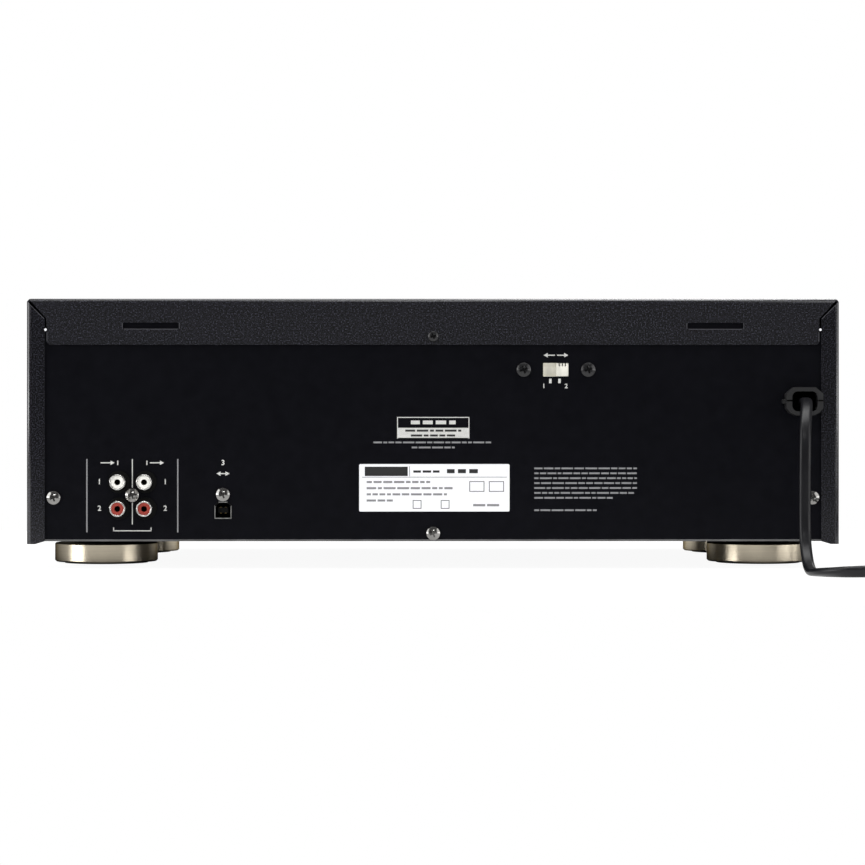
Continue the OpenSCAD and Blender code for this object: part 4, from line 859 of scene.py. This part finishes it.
def plug_ribs():
    """Raised ribs round the plug's strain relief."""
    count, pitch, end_r, taper = 6, 3 * MM, 4.2 * MM, 1.8 / 22
    rib = (-0.8, -0.2), (-0.5, 0.45), (0.5, 0.45), (0.8, -0.2)  # in mm: along the plug, out from its cone
    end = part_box("power_plug")[1].y
    at = middle("power_plug")
    bm = bmesh.new()
    for i in range(count):
        along = pitch * (i + 1)
        r = end_r + taper * along
        rings = []
        for shift, grow in rib:
            y = end - along + shift * MM
            rings.append([(x, y, z) for x, z in circle_outline(at.x, at.z, r + grow * MM)])
        join_rings(bm, rings)
    smooth(mesh_piece("plug_ribs", bm, FINISHES["cord_vinyl"], "chassis"))


plug_ribs()
BLADE_LENGTH = 15.5 * MM
blade_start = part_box("power_plug")[0].y + BLADE_LENGTH
paint_faces("power_plug", FINISHES["nickel"], lambda c: c.y < blade_start)


# Front: symbols, scales, knobs and display

def triangle(marks, x, z, size, point):
    """A triangle that points along +X or -X."""
    tip, back, half = x + point * size / 2, x - point * size / 2, size * 0.55
    marks.shape([(tip, z), (back, z + half), (back, z - half)])


def draw_symbol(marks, kind, x, z):
    size = 3.2 * MM
    if kind == "play":
        triangle(marks, x, z, size, 1)
    elif kind in ("rewind", "forward"):
        point = 1 if kind == "forward" else -1
        for shift in (-0.5, 0.5):
            triangle(marks, x + shift * 0.9 * size, z, 0.9 * size, point)
    elif kind == "stop":
        marks.bar(x, z, size * 0.9, size * 0.9)
    elif kind == "record":
        marks.disc(x, z, size * 0.5)
    elif kind == "eject":
        marks.shape([(x - size * 0.6, z - 0.3 * MM), (x + size * 0.6, z - 0.3 * MM), (x, z + size * 0.5)])
        marks.bar(x, z - 1.3 * MM, size * 1.2, 0.8 * MM)
    elif kind == "power":
        marks.ring(x, z - 0.2 * MM, 1.9 * MM, 0.5 * MM, 125, 415)
        marks.bar(x, z + 1.4 * MM, 0.5 * MM, 2.2 * MM)


def key_symbols():
    kinds = {"record_key": "record", "power_button": "power"}
    for deck in ("left", "right"):
        kinds[f"eject_button_{deck}"] = "eject"
        for kind in ("rewind", "play", "forward", "stop"):
            kinds[f"{kind}_key_{deck}"] = kind
    for key, kind in kinds.items():
        at = middle(key)
        marks = Marks(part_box(key)[0].y, FRONT)
        draw_symbol(marks, kind, at.x, at.z)
        marks.make(f"{key}_symbol", red_ink if kind == "record" else white_ink, key)


def knob_place(node):
    """A knob's middle, its radius and where its face lies."""
    low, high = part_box(node)
    return middle(node), (high.x - low.x) / 2, low.y


def knob_sleeve(node):
    """A fluted sleeve round a knob."""
    flute, rim_cut, flute_cut = 1.7 * MM, 0.55 * MM, 0.35 * MM
    profile = (1.6, 0.25), (2.2, 0), (11.6, 0), (12, 0.2)  # in mm: back from the knob's face, in from the rim
    at, r, front = knob_place(node)
    count = round(2 * math.pi * r / flute)
    rings = []
    for back, drop in profile:
        ring = []
        for i in range(2 * count):
            k = r - rim_cut - flute_cut * (i % 2) - drop * MM
            angle = math.pi * i / count
            ring.append((at.x + k * math.cos(angle), front + back * MM, at.z + k * math.sin(angle)))
        rings.append(ring)
    bm = bmesh.new()
    join_rings(bm, rings)
    mesh_piece(f"{node}_grip", bm, FINISHES["knob_metal"], node)


def knob_pointer(node):
    """A white line on a knob's face, out towards its rim."""
    sunk, height, width = 0.5 * MM, 0.45 * MM, 1.1 * MM
    at, r, front = knob_place(node)
    pointer = Marks(front + sunk, FRONT, height)
    pointer.bar(at.x, at.z + 0.66 * r, width, 0.43 * r)
    pointer.make(f"{node}_pointer", white_ink, node)


def knob_scale(node, count, numbered):
    """Ticks round a knob, with numerals, or with a minus and a plus at its ends."""
    first, sweep_angle = 240, 300
    tick_in, tick_short, tick_long, tick_w = 1.2 * MM, 2.2 * MM, 2.9 * MM, 0.35 * MM
    numeral_out, numeral_h = 4.9 * MM, 2.5 * MM
    sign_out, sign_drop, sign_w, sign_h = 2.5 * MM, 2 * MM, 1.8 * MM, 0.4 * MM
    at, r, _ = knob_place(node)
    centre = Vector((at.x, at.z))
    marks = Marks(face_y, FRONT)
    for i in range(count + 1):
        angle = math.radians(first - sweep_angle * i / count)
        out = Vector((math.cos(angle), math.sin(angle)))
        tick_out = tick_short if numbered and i % 5 else tick_long
        marks.line(centre + out * (r + tick_in), centre + out * (r + tick_out), tick_w)
        if numbered:
            place = centre + out * (r + numeral_out)
            marks.numeral(str(i), place.x, place.y, numeral_h)
    if not numbered:
        minus, plus, z = at.x - r - sign_out, at.x + r + sign_out, at.z - r - sign_drop
        marks.bar(minus, z, sign_w, sign_h)
        marks.bar(plus, z, sign_w, sign_h)
        marks.bar(plus, z, sign_h, sign_w)
    marks.make(f"{node}_scale", white_ink)


def door_marks():
    """A numeral below each door's window, between two lines."""
    drop, numeral_h, line_out, line_w, line_h = 5.6 * MM, 4.6 * MM, 25 * MM, 40 * MM, 0.35 * MM
    for deck, words in (("left", "1"), ("right", "2")):
        x = middle(f"door_{deck}").x
        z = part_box(f"door_window_{deck}")[0].z - drop
        marks = Marks(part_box(f"door_{deck}")[0].y, FRONT)
        marks.numeral(words, x, z, numeral_h)
        for side in (-1, 1):
            marks.bar(x + side * line_out, z, line_w, line_h)
        marks.make(f"door_{deck}_marks", pale_ink, f"door_{deck}")


def seven_bars(marks, x, z, h):
    """The seven strokes of one unlit figure."""
    w, t = 0.52 * h, 0.11 * h
    for level in (-1, 0, 1):
        marks.bar(x, z + level * h / 2, w - 1.5 * t, t)
    for side in (-1, 1):
        for level in (-1, 1):
            marks.bar(x + side * w / 2, z + level * h / 4, t, h / 2 - 1.3 * t)


def row_of(count, pitch):
    """The places of a row's members, about its middle."""
    return [(i - (count - 1) / 2) * pitch for i in range(count)]


def display_marks():
    """Unlit figures and level bars on the display behind its window."""
    depth, deck_out = 7.5 * MM, 50 * MM
    figure_pitch, figure_rise, figure_h = 5.6 * MM, 3 * MM, 7.5 * MM
    lamp_pitch, lamp_drop, lamp_w, lamp_h = 3.6 * MM, 6.6 * MM, 2.2 * MM, 1.2 * MM
    level_pitch, level_out, level_w, level_h = 2.6 * MM, 3.6 * MM, 1.9 * MM, 3 * MM
    tick_pitch, tick_w, tick_h = 5.2 * MM, 0.4 * MM, 1.4 * MM
    at = middle("display_window")
    marks = Marks(face_y + depth, FRONT)
    for side in (-1, 1):
        x = at.x + side * deck_out
        for shift in row_of(4, figure_pitch):
            seven_bars(marks, x + shift, at.z + figure_rise, figure_h)
        for shift in row_of(6, lamp_pitch):
            marks.bar(x + shift, at.z - lamp_drop, lamp_w, lamp_h)
    for row in (-1, 1):
        for shift in row_of(22, level_pitch):
            marks.bar(at.x + shift, at.z + row * level_out, level_w, level_h)
    for shift in row_of(11, tick_pitch):
        marks.bar(at.x + shift, at.z, tick_w, tick_h)
    marks.make("display_figures", phosphor, slot="white_plastic")


key_symbols()
for knob, ticks, numbered in (("record_level_knob", 10, True), ("pitch_knob", 12, False)):
    knob_sleeve(knob)
    knob_pointer(knob)
    knob_scale(knob, ticks, numbered)
door_marks()
display_marks()


# Painted faces and soft edges

display_back, display_low = face_y + 19 * MM, 100 * MM
paint_faces("circuit_boards", matte_black, lambda c: c.y < display_back and c.z > display_low)
paint_faces("mic_jack", FINISHES["nickel"], lambda c: c.y < face_y - 0.1 * MM)
underside_z = case_low.z + 1.7 * MM
paint_faces("bottom_chassis", matte_black, lambda c: c.z < underside_z)
# Painted shade: the faces inside the cord bush's mouth are deep black.
bush_hole_w, bush_hole_h = 14 * MM, 11.2 * MM
paint_faces("cord_bush", deep_black, lambda c: panel_y + 1.5 * MM < c.y < bush_face - 0.5 * MM
            and abs(c.x - bush.x) < bush_hole_w / 2 and abs(c.z - bush.z) < bush_hole_h / 2)
# Painted shade: the rear side flanges get a darker, duller copy of the cover's paint, as they lie lower and
# are lit less than the top flange.
side_flange_x, side_flange_top = 207.3 * MM, 134 * MM
paint_faces("top_cover", powder_coat("powder_coat_side_shade", 0.5, 0.75), lambda c: c.y > flange_y - 0.05 * MM
            and abs(c.x) > side_flange_x and c.z < side_flange_top)

soften(0.3 * MM, "front_panel", "door_left", "door_right", "mic_jack", "record_level_knob", "pitch_knob",
       "top_cover", "jack_shells", "door_frames")
soften(0.2 * MM, "bottom_chassis")
soften(0.4 * MM, "power_button", "eject_button_left", "eject_button_right", "record_key", "cord_bush")
soften(0.4 * MM, *[f"{kind}_key_{deck}" for kind in ("rewind", "play", "forward", "stop")
                   for deck in ("left", "right")])
soften(0.8 * MM, "power_plug")
